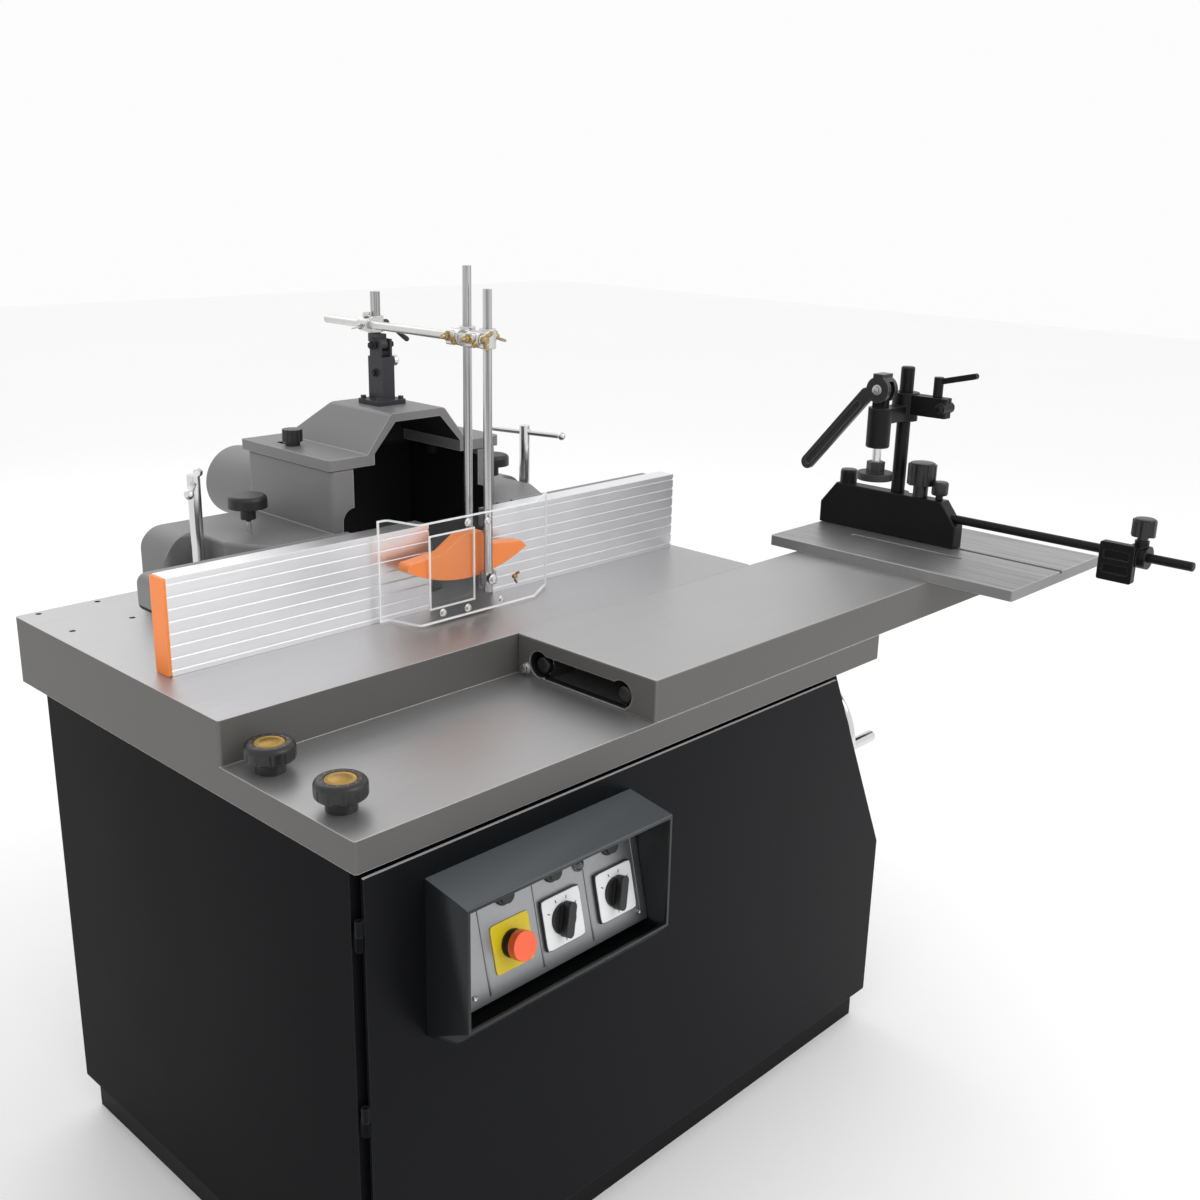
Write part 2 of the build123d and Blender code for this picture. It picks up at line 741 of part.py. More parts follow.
# Clamp arm: split collar on the post, arm over the work and plunger cylinder
collar_z = plate_top + collar_at
clamp_x = post_x - clamp_reach
cylinder_top = collar_z + collar_height / 2 + 5.5
cam_z = cylinder_top + cam_r + 10.0
lever_hub_y = post_y - 67.0
with BuildPart() as clamp_arm:
    with BuildSketch(Plane.XY.offset(collar_z)):
        with Locations((post_x, post_y)):
            Circle(collar_r)
    extrude(amount=collar_height)
    arm_top = collar_z + clamp_arm_low + clamp_arm_height
    with BuildSketch(Plane.XY.offset(arm_top)):
        with Locations((post_x, post_y)):
            Polygon((-16, 0), (-12, -92), (12, -92), (16, 0), align=None)
    extrude(amount=-clamp_arm_height)
    fillet(clamp_arm.edges().filter_by(Axis.Z).group_by(Axis.Y)[0], radius=4)
    with BuildSketch(Plane.XY.offset(collar_z + 2)):
        with Locations(((post_x + clamp_x) / 2, post_y)):
            Rectangle(clamp_reach, 30)
    extrude(amount=cylinder_top - collar_z - 4)
    with BuildSketch(Plane.XY.offset(collar_z - cylinder_drop)):
        with Locations((clamp_x, post_y)):
            Circle(cylinder_r)
    extrude(amount=cylinder_top - collar_z + cylinder_drop)
    chamfer(clamp_arm.edges().filter_by(GeomType.CIRCLE).group_by(Axis.Z)[0], length=2)
    with BuildSketch(bar_x(post_y, cam_z).offset(clamp_x - 7)):
        Circle(14)
        Rectangle(28, cam_z - cylinder_top + 1, align=(Align.CENTER, Align.MAX))
    extrude(amount=14)
    with BuildSketch(bar_x(post_y, cam_z).offset(clamp_x - 16)):
        Circle(cam_pin_r)
    extrude(amount=32)
    with BuildSketch(Plane.XY.offset(collar_z - cylinder_drop - 1)):
        with Locations((clamp_x, post_y)):
            Circle(plunger_r + run_gap)
    extrude(amount=cylinder_top - collar_z + cylinder_drop - 5, mode=Mode.SUBTRACT)
    with BuildSketch(Plane.XY.offset(collar_z - 1)):
        with Locations((post_x, post_y)):
            Circle(post_r + run_gap)
        with Locations((post_x, post_y - 57)):
            Rectangle(3, 80)
    extrude(amount=collar_height + 2, mode=Mode.SUBTRACT)
    with BuildSketch(bar_x(post_y - 84, arm_top - clamp_arm_height / 2).offset(post_x - 17)):
        Circle(10)
    extrude(amount=34)
write(clamp_arm, "clamp_arm")

# Cam lever: forked head on the cross pin and a long flat handle with a groove
with BuildPart() as clamp_lever:
    with BuildSketch(bar_x(post_y, cam_z).offset(clamp_x - 16)):
        Circle(cam_r)
        with Locations((0, cam_r)):
            Rectangle(22, 10)
    extrude(amount=32)
    with BuildSketch(bar_x(post_y, cam_z).offset(clamp_x - 7 - seat_gap)):
        with Locations((0, 16)):
            Rectangle(cam_r * 3, cam_r * 3, align=(Align.CENTER, Align.MAX))
    extrude(amount=14 + 2 * seat_gap, mode=Mode.SUBTRACT)
    with BuildSketch(bar_x(post_y, cam_z).offset(clamp_x - 16)):
        Circle(cam_pin_r + run_gap)
    extrude(amount=32, mode=Mode.SUBTRACT)
    with BuildSketch(bar_x(post_y, cam_z).offset(clamp_x - 16)):
        with Locations(Location((0, 0, 0), (0, 0, lever_tilt - 90))):
            with Locations((lever_length / 2 + cam_r - lever_width / 2, cam_r - lever_width / 2)):
                SlotOverall(lever_length, lever_width)
    extrude(amount=9)
    with BuildSketch(bar_x(post_y, cam_z).offset(clamp_x - 16)):
        with Locations(Location((0, 0, 0), (0, 0, lever_tilt - 90))):
            with Locations((lever_length / 2 + cam_r - 2, cam_r - lever_width / 2)):
                SlotOverall(lever_length - 44, lever_width - 14)
    extrude(amount=4, mode=Mode.SUBTRACT)
write(clamp_lever, "clamp_lever")

with BuildPart() as clamp_plunger:
    with BuildSketch(Plane.XY.offset(plate_top + pad_rise)):
        with Locations((clamp_x, post_y)):
            Circle(pad_r)
    extrude(amount=pad_height)
    fillet(clamp_plunger.edges(), radius=2)
    with BuildSketch(Plane.XY.offset(plate_top + pad_rise + pad_height)):
        with Locations((clamp_x, post_y)):
            RegularPolygon(nut_r, 6)
    extrude(amount=nut_height)
    with BuildSketch(Plane.XY.offset(plate_top + pad_rise + pad_height)):
        with Locations((clamp_x, post_y)):
            Circle(plunger_r)
    extrude(amount=collar_z - plate_top - pad_rise)
write(clamp_plunger, "clamp_plunger")

index_base = arm_top + seat_gap
with BuildPart() as index_lever:
    with BuildSketch(Plane.XY.offset(index_base)):
        with Locations((post_x, lever_hub_y)):
            Circle(9)
    extrude(amount=37)
    with BuildSketch(bar_x(lever_hub_y, index_base + 28).offset(post_x - 5)):
        with Locations(Location((-36, 9, 0), (0, 0, -14))):
            SlotOverall(86, 11)
    extrude(amount=10)
write(index_lever, "index_lever")

# Fence boards: grooved extrusions with a T-slot behind
board_top = table_height + seat_gap + board_height
board_back = board_face_y + board_thickness
rail_top = board_top - rail_drop
slot_z = rail_top - rail_height / 2


def fence_board(name, start):
    """One fence board, from start along +X."""
    with BuildPart() as board:
        with BuildSketch(bar_x(board_face_y, table_height + seat_gap).offset(start)):
            Rectangle(board_thickness, board_height, align=(Align.MIN, Align.MIN))
            for row in range(board_grooves):
                with Locations((0, board_height * (row + 0.5) / board_grooves)):
                    Rectangle(board_groove[1], board_groove[0], align=(Align.MIN, Align.CENTER),
                              mode=Mode.SUBTRACT)
            with Locations((board_thickness, slot_z - table_height - seat_gap)):
                Rectangle(2 * slot_mouth_depth, slot_mouth, mode=Mode.SUBTRACT)
            with Locations((board_thickness - slot_mouth_depth - slot_depth / 2,
                            slot_z - table_height - seat_gap)):
                Rectangle(slot_depth, slot_width, mode=Mode.SUBTRACT)
            with Locations((board_thickness / 2 + 1, 40)):
                RectangleRounded(board_thickness - 10, 56, 3, mode=Mode.SUBTRACT)
        extrude(amount=board_length)
    write(board, name)


fence_board("fence_board_left", -board_gap / 2 - board_length)
fence_board("fence_board_right", board_gap / 2)

with BuildPart() as fence_end_cap:
    with BuildSketch(bar_x(board_face_y, table_height + seat_gap).offset(-board_gap / 2 - board_length)):
        RectangleRounded(board_thickness, board_height, 3, align=(Align.MIN, Align.MIN))
    extrude(amount=-cap_thickness)
write(fence_end_cap, "fence_end_cap")

# Fence carriage: one casting with the hood box, two wings, feet and fence rails
carriage_base = table_height + seat_gap
hood_top = table_height + hood_height
hood_rear = hood_front + hood_depth
wing_top = table_height + wing_height
rail_back = board_back + seat_gap + rail_depth
wing_points = [(wing_front_x, hood_front), (notch_x, 60), (notch_x, notch_y), (wing_end_x, notch_y),
               (wing_end_x, hood_rear)]
foot_slot = handle_stud_r * 2 + 6
foot_x, foot_width = handle_x + 5, 68.0
wing_cavities = []
for wing_side in (-1, 1):
    for reach, rise in ((wing_end_x - wing_wall, wing_height - wing_round),
                        (wing_end_x - wing_round, wing_height - wing_wall - seat_gap)):
        wing_cavities.append((rise, [(wing_side * x, y) for x, y in (
            (hood_half + 2, hood_front + wing_wall), (wing_front_x - 12, hood_front + wing_wall),
            (notch_x - wing_wall, 66), (notch_x - wing_wall, notch_y + wing_wall), (reach, notch_y + wing_wall),
            (reach, hood_rear - wing_wall), (hood_half + 2, hood_rear - wing_wall))]))
with BuildPart() as hood_box:
    with BuildSketch(Plane.XY.offset(carriage_base)):
        Polygon(*(wing_points + [(-x, y) for x, y in reversed(wing_points)]), align=None)
    extrude(amount=wing_top - carriage_base)
    fillet(hood_box.edges().filter_by(Axis.Z), radius=9)
    fillet(hood_box.edges().group_by(Axis.Z)[-1], radius=6)
    with BuildSketch(Plane.XZ.offset(-hood_front + 1)):
        for side in (-1, 1):
            with Locations((side * (wing_end_x - wing_round / 2 + 1), wing_top - wing_round / 2 + 1)):
                Rectangle(wing_round + 2, wing_round + 2)
            with Locations((side * (wing_end_x - wing_round), wing_top - wing_round)):
                Circle(wing_round, mode=Mode.SUBTRACT)
    extrude(amount=-hood_depth - 2, mode=Mode.SUBTRACT)
    with BuildSketch(Plane.XY.offset(carriage_base)):
        with Locations((0, hood_front + hood_depth / 2)):
            RectangleRounded(2 * hood_half, hood_depth, 10)
    extrude(amount=hood_top - carriage_base)
    fillet(hood_box.edges().group_by(Axis.Z)[-1], radius=5)
    with BuildSketch(Plane.XY.offset(carriage_base)):
        with Locations((foot_x, (notch_y - 5) / 2), (-foot_x, (notch_y - 5) / 2)):
            Rectangle(foot_width, notch_y + 7)
    extrude(amount=foot_height)
    rail_mid = (hood_half + rail_end_x) / 2
    with BuildSketch(Plane.XY.offset(rail_top)):
        with Locations((rail_mid, rail_back), (-rail_mid, rail_back)):
            Rectangle(rail_end_x - hood_half, rail_depth, align=(Align.CENTER, Align.MAX))
    extrude(amount=-rail_height)
    with BuildSketch(Plane.XY.offset(wing_top)):
        with Locations((hood_half + 52, rail_back - 2), (-hood_half - 52, rail_back - 2)):
            Rectangle(104, hood_front - rail_back + 4, align=(Align.CENTER, Align.MIN))
    extrude(amount=-72)
    with BuildSketch(Plane.XY.offset(carriage_base)):
        with Locations((0, hood_front - 1)):
            Rectangle(2 * (hood_half - hood_wall), hood_depth - hood_wall + 1,
                      align=(Align.CENTER, Align.MIN))
    extrude(amount=wing_height - wing_wall - seat_gap, mode=Mode.SUBTRACT)
    for rise, outline in wing_cavities:
        with BuildSketch(Plane.XY.offset(carriage_base)):
            Polygon(*outline, align=None)
        extrude(amount=rise, mode=Mode.SUBTRACT)
    with BuildSketch(Plane.XY.offset(wing_top - wing_wall)):
        with Locations((0, hood_front - 1)):
            Rectangle(2 * (hood_half - hood_wall), hood_depth - hood_wall + 1,
                      align=(Align.CENTER, Align.MIN))
    extrude(amount=hood_top - hood_wall - wing_top + wing_wall, mode=Mode.SUBTRACT)
    with BuildSketch(Plane.XY.offset(hood_top)):
        with Locations((0, hood_front - 1)):
            Rectangle(2 * (hood_half - cheek_width), roof_back + 30, align=(Align.CENTER, Align.MIN))
    extrude(amount=-hood_wall, mode=Mode.SUBTRACT)
    for side in (-1, 1):
        cheek_out, cheek_in = side * (hood_half - hood_wall + 1), side * (hood_half - cheek_width)
        cheek_foot = side * (hood_half - cheek_low_width)
        cheek_cut, cheek_end = table_height + cheek_high_rise, table_height + cheek_low_rise
        with BuildSketch(Plane.XZ.offset(-hood_front)):
            with BuildLine():
                Polyline((cheek_foot, cheek_end), (cheek_foot, carriage_base), (cheek_out, carriage_base),
                         (cheek_out, hood_top - hood_wall + 1), (cheek_in, hood_top - hood_wall + 1),
                         (cheek_in, cheek_cut))
                RadiusArc((cheek_in, cheek_cut), (cheek_foot, cheek_end), side * (cheek_high_rise - cheek_low_rise + 4))
            make_face()
        extrude(amount=-wing_wall)
    with BuildSketch(Plane.XY.offset(hood_top)):
        with Locations((-cover_knob_x, cover_knob_y), (cover_knob_x, cover_knob_y)):
            Circle(16)
    extrude(amount=-30)
    with BuildSketch(Plane.XY.offset(hood_top)):
        with Locations((-cover_knob_x, cover_knob_y), (cover_knob_x, cover_knob_y)):
            Circle(cover_stud_r + run_gap)
    extrude(amount=-26, mode=Mode.SUBTRACT)
    with BuildSketch(Plane.XY.offset(wing_top)):
        with Locations((-wing_knob_x, wing_knob_y), (wing_knob_x, wing_knob_y)):
            Circle(4 + run_gap)
    extrude(amount=-wing_wall, mode=Mode.SUBTRACT)
    with BuildSketch(Plane.XY.offset(carriage_base)):
        with Locations((-handle_x, handle_y - carriage_back / 2), (handle_x, handle_y - carriage_back / 2)):
            SlotOverall(carriage_back + foot_slot + 10, foot_slot, rotation=90)
    extrude(amount=foot_height, mode=Mode.SUBTRACT)
    with BuildSketch(bar_y(spigot_x, spigot_z, hood_rear - hood_wall - 1)):
        Circle(spigot_r - spigot_wall)
    extrude(amount=hood_wall + 2, mode=Mode.SUBTRACT)
    rail_corners = hood_box.edges().filter_by(Axis.Y).group_by(Axis.X)
    fillet(rail_corners[0] + rail_corners[-1], radius=14)
write(hood_box, "hood_box")

# Extraction spigot: rolled collar with a flange on the hood's rear wall
with BuildPart() as extraction_spigot:
    with BuildSketch(bar_y(spigot_x, spigot_z, hood_rear)):
        Circle(spigot_r)
    extrude(amount=spigot_length)
    with BuildSketch(bar_y(spigot_x, spigot_z, hood_rear)):
        Circle(spigot_r + 10)
    extrude(amount=4)
    with BuildSketch(bar_y(spigot_x, spigot_z, hood_rear)):
        Circle(spigot_r - spigot_wall)
    extrude(amount=spigot_length, mode=Mode.SUBTRACT)
write(extraction_spigot, "extraction_spigot")


# T-handles that clamp the carriage feet to the table
def t_handle(name, at_x, turn):
    """Stud, collar, post and a cross bar turned to its rest angle."""
    with BuildPart() as handle:
        with BuildSketch(Plane.XY.offset(table_height - table_plate)):
            with Locations((at_x, handle_y)):
                Circle(handle_stud_r)
        extrude(amount=table_plate + foot_height + 2 * seat_gap + 2)
        with BuildSketch(Plane.XY.offset(table_height + foot_height + 2 * seat_gap)):
            with Locations((at_x, handle_y)):
                Circle(foot_slot / 2 + 4)
        extrude(amount=8)
        with BuildSketch(Plane.XY.offset(table_height + foot_height + 2 * seat_gap)):
            with Locations((at_x, handle_y)):
                Circle(handle_post_r)
        extrude(amount=handle_top - table_height - foot_height)
        way = Vector(math.cos(math.radians(turn)), math.sin(math.radians(turn)), 0)
        middle = Vector(at_x, handle_y, handle_top - 12)
        with BuildSketch(Plane(middle - way * (handle_bar_length / 2), z_dir=way)):
            Circle(handle_bar_r)
        extrude(amount=handle_bar_length)
        with Locations(middle - way * (handle_bar_length / 2), middle + way * (handle_bar_length / 2)):
            Sphere(handle_ball_r)
    write(handle, name)


t_handle("t_handle_left", -handle_x, handle_turns[0])
t_handle("t_handle_right", handle_x, handle_turns[1])


# Star knobs on the wings, which lock the fence boards
def wing_knob(name, at_x):
    """Disc with a rounded rim on a neck and a thin stud."""
    with BuildPart() as knob:
        with BuildSketch(Plane.XY.offset(wing_top - wing_wall)):
            with Locations((at_x, wing_knob_y)):
                Circle(4)
        extrude(amount=30 + wing_wall)
        with BuildSketch(Plane.XY.offset(wing_top + 20)):
            with Locations((at_x, wing_knob_y)):
                Circle(12)
        extrude(amount=20)
        with BuildSketch(Plane.XY.offset(wing_top + 39)):
            with Locations((at_x, wing_knob_y)):
                Circle(wing_knob_r)
        extrude(amount=20)
        fillet(knob.edges().filter_by(GeomType.CIRCLE).group_by(Axis.Z)[-1], radius=7)
    write(knob, name)


wing_knob("wing_knob_left", -wing_knob_x)
wing_knob("wing_knob_right", wing_knob_x)

# Hood cover: sliding flange plate with a raised, hipped roof
cover_base = hood_top + seat_gap
cover_top = cover_base + cover_thickness
roof_top = cover_top + roof_height
cover_half = hood_half + cover_overhang
cover_front = hood_front - 2.0
cover_rear = hood_rear + cover_overhang


def roof_outline(grow):
    """Half-hexagon of the roof, thinner by grow on every side."""
    return [(-roof_base_half + grow, cover_base), (-roof_base_half + grow, cover_top),
            (-roof_top_half + grow * 0.6, roof_top - grow), (roof_top_half - grow * 0.6, roof_top - grow),
            (roof_base_half - grow, cover_top), (roof_base_half - grow, cover_base)]


with BuildPart() as hood_cover:
    with BuildSketch(Plane.XY.offset(cover_base)):
        with Locations((0, cover_front)):
            Rectangle(2 * cover_half, cover_rear - cover_front, align=(Align.CENTER, Align.MIN))
    extrude(amount=cover_thickness)
    with BuildSketch(Plane.XZ.offset(-cover_front)):
        Polygon(*roof_outline(0), align=None)
    extrude(amount=-(roof_rear - cover_front))
    fillet(hood_cover.edges().filter_by(Axis.Z).group_by(Axis.Y)[0].filter_by(
        lambda edge: abs(edge.center().X) > roof_base_half + 1), radius=8)
    with BuildSketch(bar_x(0, 0).offset(-cover_half - 1)):
        Polygon((roof_back, roof_top), (roof_rear + 2, cover_top), (roof_rear + 2, roof_top + 9),
                (roof_back, roof_top + 9), align=None)
    extrude(amount=2 * cover_half + 2, mode=Mode.SUBTRACT)
    fillet(hood_cover.edges().filter_by(Axis.Y).group_by(Axis.Z)[-1], radius=12)
    with BuildSketch(Plane.XZ.offset(-cover_front + 1)):
        Polygon(*roof_outline(roof_wall), align=None)
    extrude(amount=-(roof_back - cover_front - 8), mode=Mode.SUBTRACT)
    with BuildSketch(Plane.XY.offset(cover_top)):
        slot_mid = cover_knob_y + cover_travel / 2
        with Locations((-cover_knob_x, slot_mid), (cover_knob_x, slot_mid)):
            SlotOverall(cover_travel + 2 * cover_stud_r + 2, 2 * cover_stud_r + 2, rotation=90)
    extrude(amount=-cover_thickness, mode=Mode.SUBTRACT)
write(hood_cover, "hood_cover")

with BuildPart() as cover_knob:
    with BuildSketch(Plane.XY.offset(hood_top - 24)):
        with Locations((-cover_knob_x, cover_knob_y)):
            Circle(cover_stud_r)
    extrude(amount=24 + cover_thickness + 2)
    with BuildSketch(Plane.XY.offset(cover_top + seat_gap)):
        with Locations((-cover_knob_x, cover_knob_y)):
            Circle(12)
    extrude(amount=8)
    with BuildSketch(Plane.XY.offset(cover_top + 7)):
        with Locations((-cover_knob_x, cover_knob_y)):
            Circle(cover_knob_r)
            with PolarLocations(cover_knob_r + 1, 12):
                Circle(2.5, mode=Mode.SUBTRACT)
    extrude(amount=20)
write(cover_knob, "cover_knob")

# Guard mast: square tube on a bolted flange, with two cheeks for the pivot pin
pivot_z = roof_top + pivot_rise
mast_foot = roof_top
arm_z = pivot_z + arm_rise
mast_rod_top = arm_z + mast_rod_rise
rod_front_top = arm_z + rod_front_rise
rod_rear_top = arm_z + rod_rear_rise
with BuildPart() as guard_mast:
    with BuildSketch(Plane.XY.offset(mast_foot)):
        with Locations((0, mast_y)):
            RectangleRounded(mast_base, mast_base, 4)
    extrude(amount=mast_flange)
    with BuildSketch(Plane.XY.offset(mast_foot + mast_flange)):
        with Locations((0, mast_y)):
            Rectangle(mast_width, mast_depth)
            Rectangle(mast_width - 2 * mast_wall, mast_depth - 2 * mast_wall, mode=Mode.SUBTRACT)
    extrude(amount=mast_height - mast_flange)
    with BuildSketch(Plane.XY.offset(mast_foot + mast_flange)):
        with Locations(((mast_width - mast_wall) / 2, mast_y), (-(mast_width - mast_wall) / 2, mast_y)):
            Rectangle(mast_wall, 28)
    extrude(amount=pivot_rise + 10 - mast_flange)
    with BuildSketch(bar_x(mast_y, pivot_z).offset(-mast_width / 2 - 4)):
        Circle(pivot_pin_r)
    extrude(amount=mast_width + 8)
    with BuildSketch(Plane.XY.offset(mast_foot + mast_flange)):
        with Locations((0, mast_y)):
            with GridLocations(mast_base - 14, mast_base - 14, 2, 2):
                RegularPolygon(5, 6)
    extrude(amount=5)
write(guard_mast, "guard_mast")

# Tilting fork: tongue on the pivot pin, and the upright rod
fork_top = 18.0
tongue_half = mast_width / 2 - mast_wall - seat_gap
with BuildPart() as guard_fork:
    with BuildSketch(bar_x(mast_y, pivot_z).offset(-tongue_half)):
        Circle(11)
        with Locations((mast_rod_y - mast_y - 3, fork_top - 7)):
            Rectangle(28, 14)
        Circle(pivot_pin_r + run_gap, mode=Mode.SUBTRACT)
    extrude(amount=2 * tongue_half)
    with BuildSketch(Plane.XY.offset(pivot_z + fork_top - 4)):
        with Locations((0, mast_rod_y)):
            Circle(mast_rod_r)
    extrude(amount=mast_rod_top - pivot_z - fork_top + 4)
write(guard_fork, "guard_fork")

# Cross clamp: joins the upright rod and the arm rod side by side
clamp_half = 13.0
with BuildPart() as cross_clamp:
    with BuildSketch(Plane.XY.offset(arm_z - clamp_half)):
        with Locations((0, mast_rod_y)):
            Circle(mast_rod_r + clamp_sleeve)
        with Locations((arm_x / 2, mast_rod_y)):
            Rectangle(-arm_x, clamp_web)
    extrude(amount=2 * clamp_half)
    with BuildSketch(bar_y(arm_x, arm_z, mast_rod_y - clamp_half)):
        Circle(arm_r + clamp_sleeve)
    extrude(amount=2 * clamp_half)
    with BuildSketch(Plane.XY.offset(arm_z - clamp_half)):
        with Locations((0, mast_rod_y)):
            Circle(mast_rod_r + run_gap)
    extrude(amount=2 * clamp_half, mode=Mode.SUBTRACT)
    with BuildSketch(bar_y(arm_x, arm_z, mast_rod_y - clamp_half)):
        Circle(arm_r + run_gap)
    extrude(amount=2 * clamp_half, mode=Mode.SUBTRACT)
write(cross_clamp, "cross_clamp")

# Guard arm: horizontal rod with two rod clamps fixed on it
with BuildPart() as guard_arm:
    for rod_y in (rod_front_y, rod_rear_y):
        with BuildSketch(Plane.XY.offset(arm_z - 12)):
            with Locations((rod_x, rod_y)):
                Circle(arm_r + clamp_sleeve)
            with Locations(((arm_x + rod_x) / 2, rod_y)):
                Rectangle(rod_x - arm_x, clamp_web)
        extrude(amount=24)
        with BuildSketch(bar_y(arm_x, arm_z, rod_y - 12)):
            Circle(arm_r + clamp_sleeve)
        extrude(amount=24)
        with BuildSketch(Plane.XY.offset(arm_z - 12)):
            with Locations((rod_x, rod_y)):
                Circle(arm_r + run_gap)
        extrude(amount=24, mode=Mode.SUBTRACT)
    with BuildSketch(bar_y(arm_x, arm_z, arm_front)):
        Circle(arm_r)
    extrude(amount=arm_rear - arm_front)
write(guard_arm, "guard_arm")

with BuildPart() as guard_rod_front:
    with BuildSketch(Plane.XY.offset(rod_front_foot)):
        with Locations((rod_x, rod_front_y)):
            Circle(arm_r)
    extrude(amount=rod_front_top - rod_front_foot)
    with BuildSketch(Plane.XY.offset(rod_front_foot + 12)):
        with Locations((rod_x, visor_front_y + visor_thickness / 2)):
            Rectangle(22, rod_front_y + 7 - visor_front_y - visor_thickness / 2,
                      align=(Align.CENTER, Align.MIN))
    extrude(amount=22)
write(guard_rod_front, "guard_rod_front")

with BuildPart() as guard_rod_rear:
    with BuildSketch(Plane.XY.offset(rod_rear_foot)):
        with Locations((rod_x, rod_rear_y)):
            Circle(arm_r)
    extrude(amount=rod_rear_top - rod_rear_foot)
write(guard_rod_rear, "guard_rod_rear")

# Visor: one bent clear sheet with side flanges
with BuildPart() as visor:
    with BuildSketch(Plane.XY.offset(table_height + visor_clear)):
        with BuildLine():
            FilletPolyline((visor_left, visor_front_y + 59), (visor_left + visor_flange, visor_front_y + 59),
                           (visor_left + visor_flange + 16, visor_front_y), (visor_right - 61, visor_front_y),
                           (visor_right, visor_front_y + 37), radius=visor_bend)
        trace(line_width=visor_thickness)
    extrude(amount=visor_height)
write(visor, "visor")

# Pressure shoe: curved sole, humped back, and a lug round the rear rod
with BuildPart() as presser_shoe:
    with BuildSketch(Plane.XZ.offset(-shoe_front)):
        with BuildLine():
            sole, crown = rod_rear_foot + 1, rod_rear_foot + 1 + shoe_hump
            Line((shoe_left, sole), (shoe_left, sole + 4))
            RadiusArc((shoe_left, sole + 4), (shoe_left + 8, sole + 12), 8)
            Polyline((shoe_left + 8, sole + 12), (shoe_left + 72, sole + 18), (rod_x - shoe_hump_width, crown),
                     (rod_x, crown), (rod_x + 14, sole + 18), (shoe_right - 10, sole + 10), (shoe_right, sole))
            ThreePointArc((shoe_right, sole), ((shoe_left + shoe_right) / 2, sole - shoe_sag), (shoe_left, sole))
        make_face()
    extrude(amount=-shoe_depth)
    with BuildSketch(Plane.XY.offset(rod_rear_foot + 4)):
        with Locations((rod_x, rod_rear_y + arm_r + 2)):
            Rectangle(26, rod_rear_y + arm_r + 2 - shoe_front - shoe_depth + 1,
                      align=(Align.CENTER, Align.MAX))
    extrude(amount=34)
    with BuildSketch(Plane.XY.offset(rod_rear_foot - 1)):
        with Locations((rod_x, rod_rear_y)):
            Circle(arm_r + press_gap)
    extrude(amount=60, mode=Mode.SUBTRACT)
write(presser_shoe, "presser_shoe")

# Spindle housing: flanged guide tube under the table, and the hanger for the lift drive
housing_top = table_height - table_plate
hanger_half = 42.0
hanger_bottom = wheel_z - 40.0
with BuildPart() as spindle_housing:
    with BuildSketch(Plane.XY.offset(housing_top)):
        Circle(housing_flange_r)
    extrude(amount=-24)
    with BuildSketch(Plane.XY.offset(housing_top)):
        Circle(housing_r)
    extrude(amount=-housing_length)
    with BuildSketch(Plane.XY.offset(housing_top)):
        with PolarLocations((housing_flange_r + housing_r) / 2, 4, start_angle=45):
            Rectangle(housing_flange_r - housing_r + 8, 12)
    extrude(amount=-120)
    with BuildSketch(Plane.XY.offset(housing_top)):
        Circle(quill_r + run_gap)
    extrude(amount=-housing_length, mode=Mode.SUBTRACT)
with BuildPart() as lift_hanger:
    with BuildSketch(Plane.XZ.offset(-screw_y + hanger_half)):
        with Locations((screw_x, hanger_bottom)):
            Rectangle(2 * hanger_half, z_cabinet - hanger_bottom, align=(Align.CENTER, Align.MIN))
        with Locations((screw_x, hanger_bottom + 10)):
            Rectangle(2 * hanger_half - 20, z_cabinet - hanger_bottom - 20,
                      align=(Align.CENTER, Align.MIN), mode=Mode.SUBTRACT)
    extrude(amount=-2 * hanger_half)
    with BuildSketch(Plane.XY.offset(hanger_bottom)):
        with Locations((screw_x, screw_y)):
            Circle(screw_r + run_gap)
    extrude(amount=10, mode=Mode.SUBTRACT)
    with BuildSketch(bar_x(screw_y, wheel_z).offset(screw_x + hanger_half - 10)):
        Circle(wheel_shaft_r + run_gap)
    extrude(amount=10, mode=Mode.SUBTRACT)
spindle_mount = Compound(label="spindle_housing", children=[spindle_housing.part, lift_hanger.part])
export_step(spindle_mount, "parts/spindle_housing.step")

# Lift screw with its bevel wheel
with BuildPart() as lift_screw:
    with BuildSketch(Plane.XZ):
        Polygon((0, screw_foot), (screw_r, screw_foot), (screw_r, wheel_z - bevel_r - 5),
                (bevel_r, wheel_z - bevel_r - 5), (bevel_r - 10, wheel_z - bevel_r + 5),
                (0, wheel_z - bevel_r + 5), align=None)
    revolve(axis=Axis.Z)
lift_screw.part.label = "lift_screw"
placed_screw = lift_screw.part.moved(Location((screw_x, screw_y, 0)))
placed_screw.label = "lift_screw"
export_step(placed_screw, "parts/lift_screw.step")

